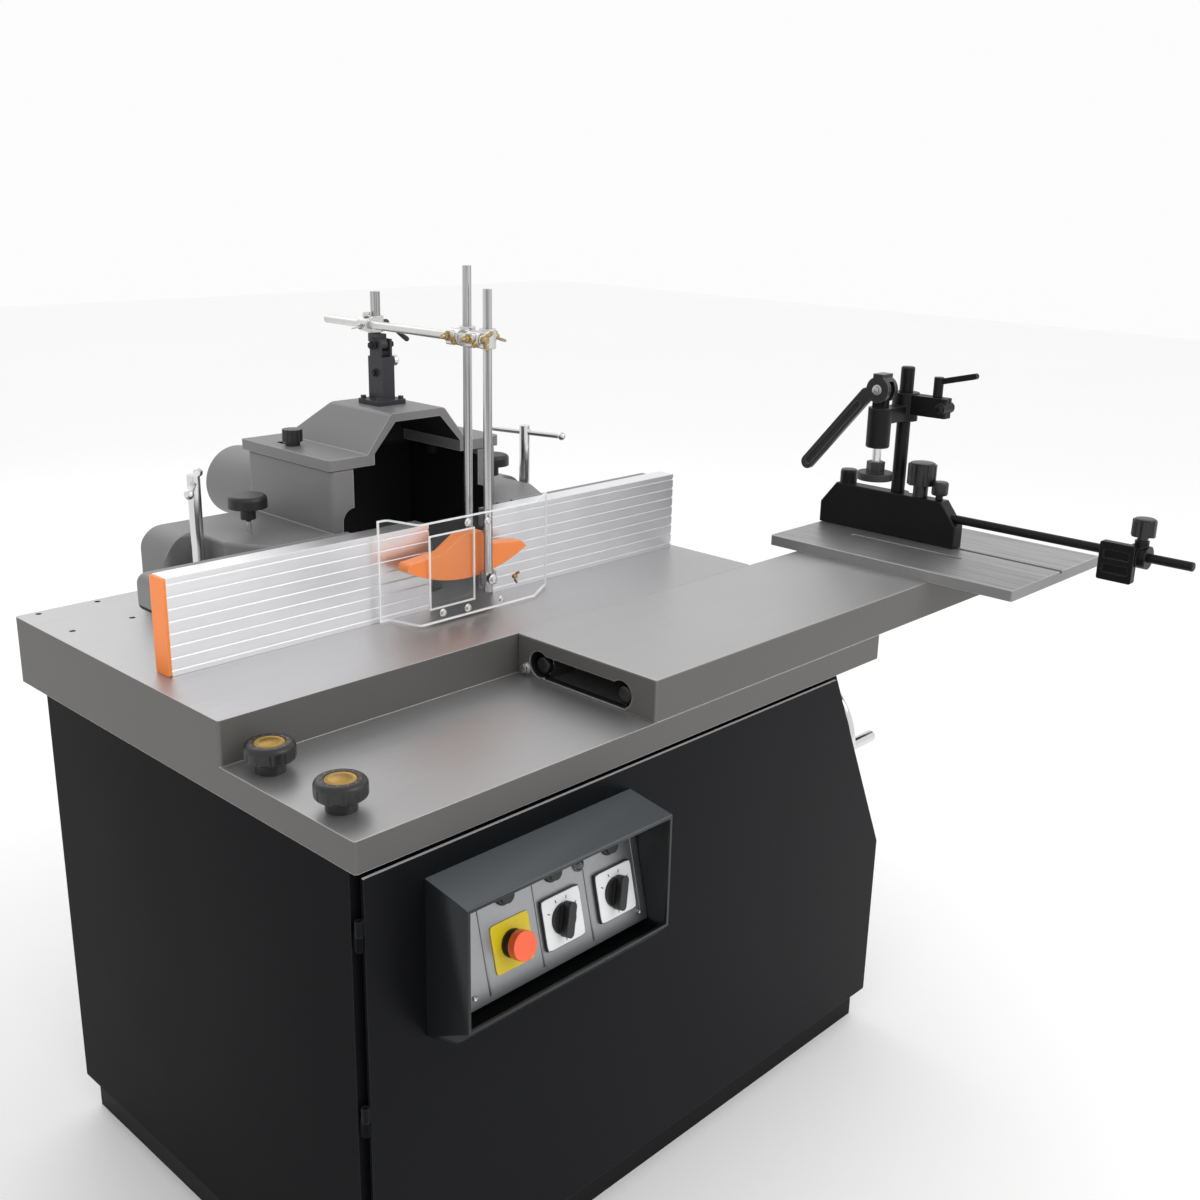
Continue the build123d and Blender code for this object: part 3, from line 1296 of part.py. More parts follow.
# Handwheel with its shaft, bevel wheel and plain steel handle
bevel_face = screw_x + bevel_r - 15.0 + 1.5 * seat_gap
with BuildPart() as handwheel:
    with BuildSketch(Plane.XY):
        Polygon((bevel_face, 0), (bevel_face, bevel_r - 10), (bevel_face + 10, bevel_r),
                (bevel_face + 10, wheel_shaft_r), (wheel_x - 6, wheel_shaft_r), (wheel_x - 6, 22),
                (wheel_x + 24, 20), (wheel_x + 28, 12), (wheel_x + 28, 0), align=None)
    revolve(axis=Axis.X)
    with BuildSketch(Plane.XY):
        with Locations((wheel_x + 14, wheel_rim_r - wheel_tube_r)):
            Circle(wheel_tube_r)
    revolve(axis=Axis.X)
    with BuildSketch(bar_x(0, 0).offset(wheel_x + 9)):
        with PolarLocations(0, 3, start_angle=60):
            with Locations(((wheel_rim_r - wheel_tube_r) / 2, 0)):
                Rectangle(wheel_rim_r - wheel_tube_r, 16)
    extrude(amount=10)
    with BuildSketch(bar_x(-wheel_grip_radius, 0).offset(wheel_x + 14)):
        Circle(wheel_grip_r)
    extrude(amount=wheel_grip_length + 8)
    fillet(handwheel.edges().filter_by(GeomType.CIRCLE).group_by(Axis.X)[-1], radius=3)
placed_wheel = handwheel.part.moved(Location((0, screw_y, wheel_z)))
placed_wheel.label = "handwheel"
export_step(placed_wheel, "parts/handwheel.step")

# Quill tube, carrier plate with nut, bearings, spindle and its rings
with BuildPart() as quill:
    with BuildSketch(Plane.XY.offset(quill_bottom)):
        Circle(quill_r)
        Circle(bearing_r + press_gap, mode=Mode.SUBTRACT)
    extrude(amount=quill_top - quill_bottom)
    with BuildSketch(Plane.XY.offset(quill_top)):
        Circle(bearing_r + 1)
        Circle(shaft_r + 1, mode=Mode.SUBTRACT)
    extrude(amount=-6)
write(quill, "quill")

with BuildPart() as spindle_bearings:
    for level in (quill_top - 6 - bearing_height, quill_bottom + 20):
        with BuildSketch(Plane.XY.offset(level)):
            Circle(bearing_r)
            Circle(shaft_r + run_gap, mode=Mode.SUBTRACT)
        extrude(amount=bearing_height)
write(spindle_bearings, "spindle_bearings")

carrier_bottom = quill_bottom - carrier_thickness
nut_bottom = carrier_bottom - 70.0
with BuildPart() as quill_carrier:
    with BuildSketch(Plane.XY.offset(carrier_bottom)) as carrier_outline:
        Polygon((motor_x - 70, -70), (screw_x - 110, -90), (screw_x - 32, screw_y - 32),
                (screw_x + 32, screw_y - 32), (screw_x + 32, screw_y + 40), (70, 60), (0, 90),
                (motor_x - 70, 70), align=None)
        fillet(carrier_outline.vertices(), radius=14)
        Circle(shaft_r + 6, mode=Mode.SUBTRACT)
        with Locations((motor_x, 0)):
            Circle(40, mode=Mode.SUBTRACT)
    extrude(amount=carrier_thickness)
    with BuildSketch(Plane.XY.offset(nut_bottom)):
        with Locations((screw_x, screw_y)):
            Circle(26)
    extrude(amount=carrier_bottom - nut_bottom + 1)
    with BuildSketch(Plane.XY.offset(nut_bottom)):
        with Locations((screw_x, screw_y)):
            Circle(screw_r + run_gap)
    extrude(amount=100, mode=Mode.SUBTRACT)
write(quill_carrier, "quill_carrier")

with BuildPart() as spindle_shaft:
    with BuildSketch(Plane.XZ):
        Polygon((0, carrier_bottom - pulley_height - 8), (shaft_foot_r, carrier_bottom - pulley_height - 8),
                (shaft_foot_r, quill_bottom - 4), (shaft_r, quill_bottom - 4), (shaft_r, quill_top + 2),
                (arbor_flange_r, quill_top + 2), (arbor_flange_r, quill_top + 14), (arbor_r, quill_top + 14),
                (arbor_r, arbor_top), (0, arbor_top), align=None)
    revolve(axis=Axis.Z)
    chamfer(spindle_shaft.edges().group_by(Axis.Z)[-1], length=1.5)
write(spindle_shaft, "spindle_shaft")

ring_heights = (20.0, 40.0, 30.0, 20.0, 10.0)
with BuildPart() as arbor_rings:
    level = quill_top + 14
    for height in ring_heights:
        with BuildSketch(Plane.XY.offset(level)):
            Circle(27)
            Circle(arbor_r + press_gap, mode=Mode.SUBTRACT)
        extrude(amount=height - 0.1)
        level += height
    with BuildSketch(Plane.XY.offset(level)):
        RegularPolygon(25, 6)
        Circle(arbor_r + press_gap, mode=Mode.SUBTRACT)
    extrude(amount=16)
write(arbor_rings, "arbor_rings")


# Stepped pulleys and the flat belt between them
def stepped_pulley(name, at_x, radius, step, bore, top):
    """Two steps with rims; the upper step carries the belt."""
    low, mid = top - pulley_height, top - pulley_height / 2
    with BuildPart() as pulley:
        for foot, size in ((low, radius + step), (mid, radius)):
            with BuildSketch(Plane.XY.offset(foot)):
                with Locations((at_x, 0)):
                    Circle(size)
            extrude(amount=pulley_height / 2)
            for rim in (foot, foot + pulley_height / 2 - 4):
                with BuildSketch(Plane.XY.offset(rim)):
                    with Locations((at_x, 0)):
                        Circle(size + belt_thickness + 3)
                extrude(amount=4)
        if bore > 0:
            with BuildSketch(Plane.XY.offset(low)):
                with Locations((at_x, 0)):
                    Circle(bore)
            extrude(amount=pulley_height, mode=Mode.SUBTRACT)
        else:
            with BuildSketch(Plane.XY.offset(low - 6)):
                with Locations((at_x, 0)):
                    Circle(motor_shaft_r)
            extrude(amount=pulley_height + 66)
    write(pulley, name)


pulley_top = carrier_bottom - 6.0
stepped_pulley("spindle_pulley", 0, spindle_pulley_r, pulley_step, shaft_foot_r + press_gap, pulley_top)
stepped_pulley("motor_pulley", motor_x, motor_pulley_r, -pulley_step, 0, pulley_top)

with BuildPart() as drive_belt:
    for grow, mode in ((belt_thickness, Mode.ADD), (0, Mode.SUBTRACT)):
        with BuildSketch(Plane.XY.offset(pulley_top - pulley_height / 4 - belt_width / 2)) as loop:
            Circle(spindle_pulley_r + seat_gap + grow)
            with Locations((motor_x, 0)):
                Circle(motor_pulley_r + seat_gap + grow)
            make_hull()
        extrude(amount=belt_width, mode=mode)
write(drive_belt, "drive_belt")

# Motor: finned body on the carrier plate, with a terminal box
with BuildPart() as motor:
    with BuildSketch(Plane.XY.offset(quill_bottom)):
        with Locations((motor_x, 0)):
            Circle(motor_r - 12)
            with PolarLocations(motor_r - 14, 20):
                Rectangle(28, 4)
    extrude(amount=motor_height)
    for foot, tall in ((quill_bottom, 14), (quill_bottom + motor_height - 34, 34)):
        with BuildSketch(Plane.XY.offset(foot)):
            with Locations((motor_x, 0)):
                Circle(motor_r + 2)
        extrude(amount=tall)
    with BuildSketch(Plane.XY.offset(quill_bottom + 60)):
        with Locations((motor_x, motor_r + 10)):
            RectangleRounded(90, 60, 6)
    extrude(amount=90)
    with BuildSketch(Plane.XY.offset(quill_bottom)):
        with Locations((motor_x, 0)):
            Circle(motor_shaft_r + run_gap)
    extrude(amount=60, mode=Mode.SUBTRACT)
write(motor, "motor")

# Control box on the door, its sloped panel, switches and buttons
face_y = door_front
box_front = face_y - box_reach
with BuildPart() as control_box:
    box_points = [(face_y, box_bottom), (face_y, box_top), (box_front, box_top - 12),
                  (box_front, box_bottom + 40), (box_front + 24, box_bottom + 14)]
    inner_points = [(face_y + 1, box_bottom + 2 * box_wall), (face_y + 1, box_top - box_wall),
                    (box_front + box_wall, box_top - 12 - box_wall),
                    (box_front + box_wall, box_bottom + 40 + box_wall),
                    (box_front + 24, box_bottom + 14 + 2 * box_wall)]
    with BuildSketch(bar_x(0, 0).offset(box_left)):
        Polygon(*box_points, align=None)
    extrude(amount=box_width)
    fillet(control_box.edges().filter_by(Axis.X).group_by(Axis.Y)[0], radius=3)
    with BuildSketch(bar_x(0, 0).offset(box_left + box_wall)):
        Polygon(*inner_points, align=None)
    extrude(amount=box_width - 2 * box_wall, mode=Mode.SUBTRACT)
    with BuildSketch(bar_x(0, 0).offset(box_left + box_wall)):
        with Locations((box_front - 1, box_bottom + 44)):
            Rectangle(box_wall + 3, box_top - visor_lip - box_bottom - 56,
                      align=(Align.MIN, Align.MIN))
    extrude(amount=box_width - 2 * box_wall, mode=Mode.SUBTRACT)
write(control_box, "control_box")

panel_run = Vector(0, panel_top[0] - panel_foot[0], panel_top[1] - panel_foot[1])
panel_normal = Vector(0, -panel_run.Z, panel_run.Y).normalized()
panel_mid = Vector(box_left + box_width / 2, (panel_top[0] + panel_foot[0]) / 2,
                   (panel_top[1] + panel_foot[1]) / 2)
panel_plane = Plane(panel_mid, x_dir=(1, 0, 0), z_dir=panel_normal)
mid_x = panel_mid.X
with BuildPart() as control_panel:
    with BuildSketch(panel_plane):
        Rectangle(box_width - 2 * box_wall - 2 * seat_gap, panel_run.length)
        with Locations(*[(x - mid_x, -switch_down) for x in switch_x]):
            Circle(switch_stem_r + run_gap, mode=Mode.SUBTRACT)
        with Locations((estop_x - mid_x, -switch_down)):
            Circle(estop_stem_r + run_gap, mode=Mode.SUBTRACT)
        with Locations(*[(x - mid_x, button_up) for x in button_x]):
            Circle(button_stem_r + run_gap, mode=Mode.SUBTRACT)
    extrude(amount=-panel_thickness)
write(control_panel, "control_panel")

for side, x in zip(("left", "right"), switch_x):
    with BuildPart() as rotary_switch:
        with BuildSketch(panel_plane.offset(-panel_thickness - 8)):
            with Locations((x - mid_x, -switch_down)):
                Circle(switch_stem_r)
        extrude(amount=panel_thickness + 10)
        with BuildSketch(panel_plane.offset(1.5)):
            with Locations((x - mid_x, -switch_down)):
                Circle(switch_r)
        extrude(amount=7)
        with BuildSketch(panel_plane.offset(8)):
            with Locations((x - mid_x, -switch_down)):
                SlotOverall(2 * switch_r + 6, 13, rotation=70)
        extrude(amount=14)
    write(rotary_switch, "rotary_switch_" + side)

with BuildPart() as estop_button:
    with BuildSketch(panel_plane.offset(-panel_thickness - 8)):
        with Locations((estop_x - mid_x, -switch_down)):
            Circle(estop_stem_r)
    extrude(amount=panel_thickness + 24)
    with BuildSketch(panel_plane.offset(15)):
        with Locations((estop_x - mid_x, -switch_down)):
            Circle(estop_r)
    extrude(amount=12)
    fillet(estop_button.edges().filter_by(GeomType.CIRCLE).sort_by(SortBy.DISTANCE)[-1], radius=1)
write(estop_button, "estop_button")

for place, x in zip(("left", "middle", "right"), button_x):
    with BuildPart() as push_button:
        with BuildSketch(panel_plane.offset(-panel_thickness - 3)):
            with Locations((x - mid_x, button_up)):
                Circle(button_stem_r)
        extrude(amount=panel_thickness + 9)
        with BuildSketch(panel_plane.offset(5)):
            with Locations((x - mid_x, button_up)):
                Circle(button_r)
        extrude(amount=6)
    write(push_button, "push_button_" + place)
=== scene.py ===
"""Looks of the spindle moulder: finishes for every CAD piece, and the small hardware.

Metres, in the frame of the CAD model: +X to the right along the fence, +Y to
the rear, +Z up, with the origin on the floor under the spindle axis.
"""

import math

import bmesh
import bpy
from bpy.props import FloatProperty, FloatVectorProperty, IntProperty, PointerProperty
from mathutils import Matrix, Vector


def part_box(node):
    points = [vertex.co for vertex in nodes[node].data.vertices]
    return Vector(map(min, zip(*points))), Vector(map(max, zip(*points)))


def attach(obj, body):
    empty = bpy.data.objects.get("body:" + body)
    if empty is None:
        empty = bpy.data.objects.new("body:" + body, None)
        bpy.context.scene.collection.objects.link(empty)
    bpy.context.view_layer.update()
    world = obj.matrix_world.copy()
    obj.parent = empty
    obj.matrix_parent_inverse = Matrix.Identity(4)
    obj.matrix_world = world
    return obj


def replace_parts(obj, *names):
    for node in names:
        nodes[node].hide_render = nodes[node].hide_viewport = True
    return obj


bl_info = {
    "name": "Spindle moulder looks",
    "version": (1, 0, 0),
    "blender": (4, 5, 0),
    "location": "View3D > Sidebar > Moulder",
    "description": "Finishes and small hardware of a spindle moulder with a sliding table",
    "category": "Object",
}

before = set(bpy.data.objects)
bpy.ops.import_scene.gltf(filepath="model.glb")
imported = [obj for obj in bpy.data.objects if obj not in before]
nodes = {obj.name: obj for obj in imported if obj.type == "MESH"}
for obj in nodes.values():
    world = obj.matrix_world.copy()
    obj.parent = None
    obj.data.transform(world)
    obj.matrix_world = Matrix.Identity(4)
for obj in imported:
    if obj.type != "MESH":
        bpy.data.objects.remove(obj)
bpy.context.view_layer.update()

# Materials of this script by name, since the frame's own materials may have the same names
finishes = {}

# Share of marks in a bare metal above which they are drawn out as streaks; on the guard rods and fork these dark
# streaks are painted reflections
strong_lines = 0.5
# Room inside the hood casting: half its width, its front, its back and its roof
hood_room_half, hood_room_front, hood_room_back, hood_room_top = 0.1622, -0.0088, 0.2192, 1.0625
# Middle plane and top of the mitre fence, and the places along it
mitre_x, mitre_top = 0.8615, 0.9553
mitre_pivot_y, lock_knob_y, small_knob_y, stop_y = -0.287, -0.449, -0.490, -0.88
# Cam pin and ear of the mitre fence's clamp arm
cam_pin = (0.783, -0.395, 1.1603)
clamp_ear = (0.869, -0.479, 1.1268)
# Pivot of the guard's tilting fork
tilt_pivot = Vector((0, 0.083, 1.2493))
# Top face of the quill carrier
carrier_top = 0.4502
# Corners of the guard's inner clear sheet
inner_sheet = Vector((-0.1085, -0.1690, 0.868)), Vector((-0.0150, -0.1660, 0.9885))
# Face of the control panel: its middle, its outward and upward directions, and the rows of parts on it
panel_mid = Vector((-0.276, -0.611, 0.588))
panel_out = Vector((0, -0.97325, 0.22979))
panel_up = Vector((0, 0.22979, 0.97325))
switch_row, button_row, lamp_row = -0.013, 0.054, 0.046


# Shader maths
class Wire:
    """A node socket that takes part in sums: each expression adds its Math nodes."""

    def __init__(self, finish, socket):
        self.finish = finish
        self.socket = socket

    def math(self, operation, a, b=None):
        values = {0: a} if b is None else {0: a, 1: b}  # ABSOLUTE takes one value
        return self.finish.node("ShaderNodeMath", {"operation": operation}, values)

    def __add__(self, other):
        return self.math("ADD", self, other)

    __radd__ = __add__

    def __sub__(self, other):
        return self.math("SUBTRACT", self, other)

    def __rsub__(self, other):
        return self.math("SUBTRACT", other, self)

    def __mul__(self, other):
        return self.math("MULTIPLY", self, other)

    __rmul__ = __mul__

    def __gt__(self, other):
        return self.math("GREATER_THAN", self, other)

    def __lt__(self, other):
        return self.math("LESS_THAN", self, other)

    def clamp(self):
        return self.finish.node("ShaderNodeClamp", {}, {0: self})


class Finish:
    """One material: a Principled shader fed by wires."""

    def __init__(self, name):
        self.material = bpy.data.materials.new(name)
        finishes[name] = self.material
        self.material.use_nodes = True
        self.tree = self.material.node_tree
        self.shader = self.tree.nodes["Principled BSDF"]
        self.place = self.node("ShaderNodeTexCoord", out="Object")

    def node(self, kind, settings=None, values=None, out=0):
        """Add a node with its settings and inputs, and return one of its outputs."""
        made = self.tree.nodes.new(kind)
        for key, value in (settings or {}).items():
            setattr(made, key, value)
        for key, value in (values or {}).items():
            self.feed(made.inputs[key], value)
        return Wire(self, made.outputs[out])

    def feed(self, socket, value):
        """Link a wire to a socket, or set the socket's own value."""
        if isinstance(value, Wire):
            self.tree.links.new(value.socket, socket)
        elif isinstance(value, (tuple, list)) and len(value) == 3 and socket.type == "RGBA":
            socket.default_value = (*value, 1.0)
        else:
            socket.default_value = value

    def put(self, **sockets):
        """Feed the Principled shader's inputs, with underscores for the spaces in their names."""
        for name, value in sockets.items():
            self.feed(self.shader.inputs[name.replace("_", " ")], value)
        return self.material

    def noise(self, scale, stretch=(1, 1, 1), detail=3.0):
        """Noise from 0 to 1 on Object coordinates, drawn out along an axis by stretch."""
        spot = self.node("ShaderNodeMapping", {}, {"Vector": self.place, "Scale": stretch})
        return self.node("ShaderNodeTexNoise", {}, {"Vector": spot, "Scale": scale, "Detail": detail,
                                                    "Roughness": 0.55}, out="Fac")

    def split(self, vector):
        """The three parts of a vector."""
        first = self.node("ShaderNodeSeparateXYZ", {}, {0: vector})
        return [Wire(self, socket) for socket in first.socket.node.outputs]

    def facing(self):
        """The three parts of the surface normal in Object coordinates."""
        return self.split(self.node("ShaderNodeTexCoord", out="Normal"))

    def mix(self, factor, a, b):
        """Colour a where factor is 0, and b where it is 1."""
        return self.node("ShaderNodeMix", {"data_type": "RGBA"}, {0: factor, 6: a, 7: b}, out=2)

    def edge(self, radius):
        """Rounded normal, and a mask of 1 along sharp edges."""
        soft = self.node("ShaderNodeBevel", {"samples": 4}, {"Radius": radius})
        flat = self.node("ShaderNodeNewGeometry", out="Normal")
        same = self.node("ShaderNodeVectorMath", {"operation": "DOT_PRODUCT"}, {0: soft, 1: flat},
                         out="Value")
        return soft, (8.0 * (1.0 - same)).clamp()

    def bump(self, height, strength, depth, normal=None):
        """Normal of a bumpy surface, where depth is in metres."""
        values = {"Height": height, "Strength": strength, "Distance": depth}
        if normal is not None:
            values["Normal"] = normal
        return self.node("ShaderNodeBump", {}, values)


def sharpened(marks, by):
    """Noise with its contrast raised about the middle."""
    return ((marks - 0.5) * by + 0.5).clamp()


def lighter(colour, by):
    """A colour scaled by a number."""
    return tuple(min(1.0, part * by) for part in colour)


def paint(name, colour, roughness, peel, wear_and_highlight, edge=0.0016, gloss=0.3):
    """Sprayed paint: orange peel, faint clouding, and edges painted lighter, partly as wear and partly as a painted
    highlight.
    """
    f = Finish(name)
    cloud = f.noise(3.5, detail=4.0)
    peel_height = f.noise(520.0, detail=2.0)
    speck = f.noise(1900.0, detail=1.0)
    soft, rim = f.edge(edge)
    body = f.mix(cloud, lighter(colour, 0.86), lighter(colour, 1.14))
    body = f.mix(0.35 * speck, body, lighter(colour, 1.3))
    # Edges painted lighter: partly wear, partly a painted highlight
    body = f.mix(rim * wear_and_highlight, body, tuple(0.16 + 0.8 * part for part in colour))
    rough = roughness + 0.12 * (cloud - 0.5) + 0.06 * speck
    return f.put(Base_Color=body, Roughness=rough, Specular_IOR_Level=gloss,
                 Normal=f.bump(peel_height, peel, 0.00025, soft))


def steel(name, colour, roughness, along, scale, edge=0.0006, depth=0.00004, lines=0.4, dark=0.78,
          black_below=None):
    """Bare metal with fine marks drawn out along an axis, slight staining and painted highlights along its edges;
    black under a height.
    """
    f = Finish(name)
    marks = f.noise(scale, along, detail=3.0)
    if lines > strong_lines:
        marks = sharpened(marks, 3.0)
    stain = f.noise(9.0, detail=5.0)
    soft, rim = f.edge(edge)
    body = f.mix(stain, lighter(colour, 0.90), lighter(colour, 1.06))
    # Marks darkened; on the guard rods and fork the strong dark streaks are painted reflections
    body = f.mix(lines * marks, body, lighter(colour, dark))
    # Painted highlight along the edges
    body = f.mix(0.5 * rim, body, lighter(colour, 1.35))
    rough = roughness + 0.16 * (marks - 0.5) + 0.10 * (stain - 0.5)
    bare = 1.0
    if black_below is not None:
        bare = f.split(f.place)[2] > black_below
        body = f.mix(bare, (0.014, 0.014, 0.016), body)
        rough = rough + 0.12 * (1.0 - bare)
    return f.put(Base_Color=body, Roughness=rough, Metallic=bare, Normal=f.bump(marks, 0.4, depth, soft))


def plastic(name, colour, roughness, grain, edge=0.0008, coat=0.0, shine=0.25, pale=0.12):
    """Moulded plastic: fine spark grain, and a painted highlight along its edges."""
    f = Finish(name)
    spark = f.noise(1500.0, detail=2.0)
    cloud = f.noise(14.0)
    soft, rim = f.edge(edge)
    body = f.mix(cloud, lighter(colour, 0.90), lighter(colour, 1.10))
    # Painted highlight: edges paler
    body = f.mix(shine * rim, body, tuple(min(1.0, pale + part) for part in colour))
    return f.put(Base_Color=body, Roughness=roughness + 0.10 * (cloud - 0.5) + 0.05 * spark,
                 Coat_Weight=coat, Normal=f.bump(spark, grain, 0.00012, soft))


def knob_on_stud(name, colour, height):
    """Black knob above a height, and a bright turned stud below it."""
    f = Finish(name)
    z = f.split(f.place)[2]
    stud = z < height
    ring = f.noise(500.0, (0.1, 0.1, 1.0))
    spark = f.noise(1500.0, detail=2.0)
    soft, rim = f.edge(0.0008)
    # Painted highlight along the knob's edges
    grip = f.mix(0.3 * rim, f.mix(spark, lighter(colour, 0.9), lighter(colour, 1.1)), (0.10, 0.10, 0.10))
    return f.put(Base_Color=f.mix(stud, grip, f.mix(ring, (0.60, 0.60, 0.60), (0.75, 0.75, 0.75))),
                 Metallic=1.0 * stud, Roughness=0.40 - 0.2 * stud + 0.08 * spark,
                 Normal=f.bump(spark, 0.2, 0.0001, soft))


def door_coat(name, colour, top, bright=(0.55, 0.55, 0.55), turn=0.7, gloss=0.06):
    """Charcoal paint, with a painted highlight on the faces that look up above a height, and painted highlights along
    its edges.
    """
    f = Finish(name)
    up = f.facing()[2]
    z = f.split(f.place)[2]
    cloud = f.noise(3.0, detail=4.0)
    peel = f.noise(520.0, detail=2.0)
    soft, rim = f.edge(0.0016)
    # Painted highlight: upward faces above the height
    line = ((up > turn) * (z > top)).clamp()
    body = f.mix(cloud, lighter(colour, 0.86), lighter(colour, 1.14))
    # Painted highlight along the edges
    body = f.mix(0.2 * rim, body, (0.16, 0.16, 0.165))
    return f.put(Base_Color=f.mix(line, body, bright), Specular_IOR_Level=gloss,
                 Roughness=0.33 + 0.12 * (cloud - 0.5), Normal=f.bump(peel, 0.16, 0.00025, soft))


def plunger_finish(name, height):
    """Blackened pad and nut below a height, and a ground rod above it."""
    f = Finish(name)
    z = f.split(f.place)[2]
    rod = z > height
    ring = f.noise(420.0, (0.1, 0.1, 1.0))
    soft, rim = f.edge(0.0010)
    # Painted highlight along the edges of the black parts
    black = f.mix(0.5 * rim, f.mix(ring, (0.008, 0.008, 0.008), (0.014, 0.014, 0.014)), (0.2, 0.2, 0.2))
    return f.put(Base_Color=f.mix(rod, black, f.mix(ring, (0.62, 0.62, 0.62), (0.78, 0.78, 0.78))),
                 Metallic=1.0 * rod, Roughness=0.42 - 0.24 * rod + 0.08 * ring, Normal=soft)


def ground_iron(name, bright, side, low, along=(0.02, 1.0, 1.0), lines=0.30, hollow=None):
    """Cast iron with its upper faces ground bright, its sides painted, painted highlights along its edges, and black
    painted shade in its hollow.
    """
    f = Finish(name)
    up = f.facing()[2]
    x, y, height = f.split(f.place)
    top = (up > 0.7) * (height > low)
    marks = f.noise(420.0, along, detail=3.0)
    shade = 0.80
    if lines > strong_lines:
        marks = sharpened(marks, 2.4)
        shade = 0.50
    swirl = f.noise(26.0, (0.25, 1.0, 1.0), detail=4.0)
    patch = f.noise(3.2, detail=3.0)
    soft, rim = f.edge(0.0018)
    metal = f.mix(patch, lighter(bright, 0.90), lighter(bright, 1.08))
    metal = f.mix(lines * marks, metal, lighter(bright, shade))
    metal = f.mix(0.16 * swirl, metal, lighter(bright, 0.70))
    coat = f.mix(patch, lighter(side, 0.88), lighter(side, 1.12))
    coat = f.mix(0.25 * f.noise(900.0, detail=1.0), coat, lighter(side, 1.35))
    body = f.mix(top, coat, metal)
    # Painted highlight along the edges
    body = f.mix(0.75 * rim, body, lighter(bright, 1.6))
    # Painted shade: black inside the hollow
    if hollow:
        (x0, y0), (x1, y1), roof = hollow
        within = (x > x0) * (x < x1) * (y > y0) * (y < y1) * (height < roof)
        body = f.mix(within, body, (0.008, 0.008, 0.008))
    rough = top * (0.30 + 0.14 * marks + 0.10 * patch) + (1.0 - top) * (0.46 + 0.10 * patch)
    peel = f.noise(480.0, detail=2.0)
    bumps = f.bump(top * marks + (1.0 - top) * peel * 3.0, 0.30, 0.00005, soft)
    return f.put(Base_Color=body, Roughness=rough, Metallic=0.85 * top, Normal=bumps)


def paint_with_painted_shade(name, colour, inner_shade):
    """Casting paint outside, with edges painted lighter as wear and as a painted highlight, and black painted shade
    on the faces that look inwards and downwards.
    """
    f = Finish(name)
    x, y, z = f.split(f.place)
    _, ny, nz = f.facing()
    wide = x.math("ABSOLUTE", x)
    # Black painted shade inside the hood's room, on faces that look down, and on forward faces at its back
    inside = (wide < hood_room_half) * (y > hood_room_front) * (y < hood_room_back) * (z < hood_room_top)
    under = (nz < -0.25) * (z > 0.86)
    back = (ny < -0.5) * (y > 0.02)
    dark = (inside + under + back * (wide < hood_room_half)).clamp()
    cloud = f.noise(4.0, detail=4.0)
    peel = f.noise(430.0, detail=3.0)
    soft, rim = f.edge(0.0028)
    coat = f.mix(cloud, lighter(colour, 0.86), lighter(colour, 1.14))
    coat = f.mix(0.30 * f.noise(1500.0, detail=1.0), coat, lighter(colour, 1.3))
    # Edges painted much lighter: partly wear, partly a painted highlight
    coat = f.mix(0.75 * rim * (1.0 - dark), coat, lighter(colour, 3.4))
    return f.put(Base_Color=f.mix(dark, coat, inner_shade), Specular_IOR_Level=0.4,
                 Roughness=0.36 + 0.12 * cloud + 0.35 * dark,
                 Normal=f.bump(peel, 0.4, 0.0003, soft))


def clear_sheet(name, tint, low, high, trim):
    """Clear plastic: nearly unseen on its face, and pale and solid along the rim of its box as a painted highlight.
    """
    f = Finish(name)
    x, y, z = f.split(f.place)
    # Painted highlight along the rim of the sheet's box
    rim = (z > high.z - trim) + (z < low.z + trim) + (x < low.x + trim) + (x > high.x - trim)
    smear = f.noise(30.0, (1, 1, 0.3), detail=4.0)
    seen = (0.010 + 0.015 * smear + 0.75 * rim).clamp()
    f.material.surface_render_method = "BLENDED"
    return f.put(Base_Color=f.mix(rim.clamp(), tint, (0.92, 0.94, 0.94)), Roughness=0.05 + 0.08 * smear,
                 Alpha=seen, Specular_IOR_Level=0.4)


def gold(name, colour):
    """Plain gold disc with fine rings turned into it."""
    f = Finish(name)
    marks = f.noise(700.0, detail=3.0)
    return f.put(Base_Color=f.mix(marks, lighter(colour, 0.8), lighter(colour, 1.1)),
                 Roughness=0.32 + 0.2 * marks, Metallic=0.9, Normal=f.bump(marks, 0.2, 0.00003))


def floor_finish(name, colour):
    """Pale, even studio floor."""
    f = Finish(name)
    cloud = f.noise(0.8, detail=2.0)
    return f.put(Base_Color=f.mix(cloud, lighter(colour, 0.985), colour), Roughness=0.7 + 0.1 * cloud)


# Settings
class MoulderColours(bpy.types.PropertyGroup):
    """Colours of the machine's finishes."""

    def shade(title, words, default):
        return FloatVectorProperty(name=title, description=words, subtype="COLOR", size=3, min=0, max=1,
                                   default=default)

    charcoal: shade("Charcoal", "Paint of the cabinet and its door", (0.0042, 0.0044, 0.0054))
    casting: shade("Casting grey", "Paint of the hood and its wings", (0.168, 0.166, 0.166))
    ground: shade("Ground iron", "Ground upper faces of the tables", (0.475, 0.470, 0.475))
    edge_paint: shade("Table sides", "Paint on the sides of the tables", (0.086, 0.084, 0.080))
    orange: shade("Orange", "End cap and pressure shoe", (0.93, 0.235, 0.030))
    aluminium: shade("Aluminium", "Fence boards", (0.88, 0.88, 0.90))


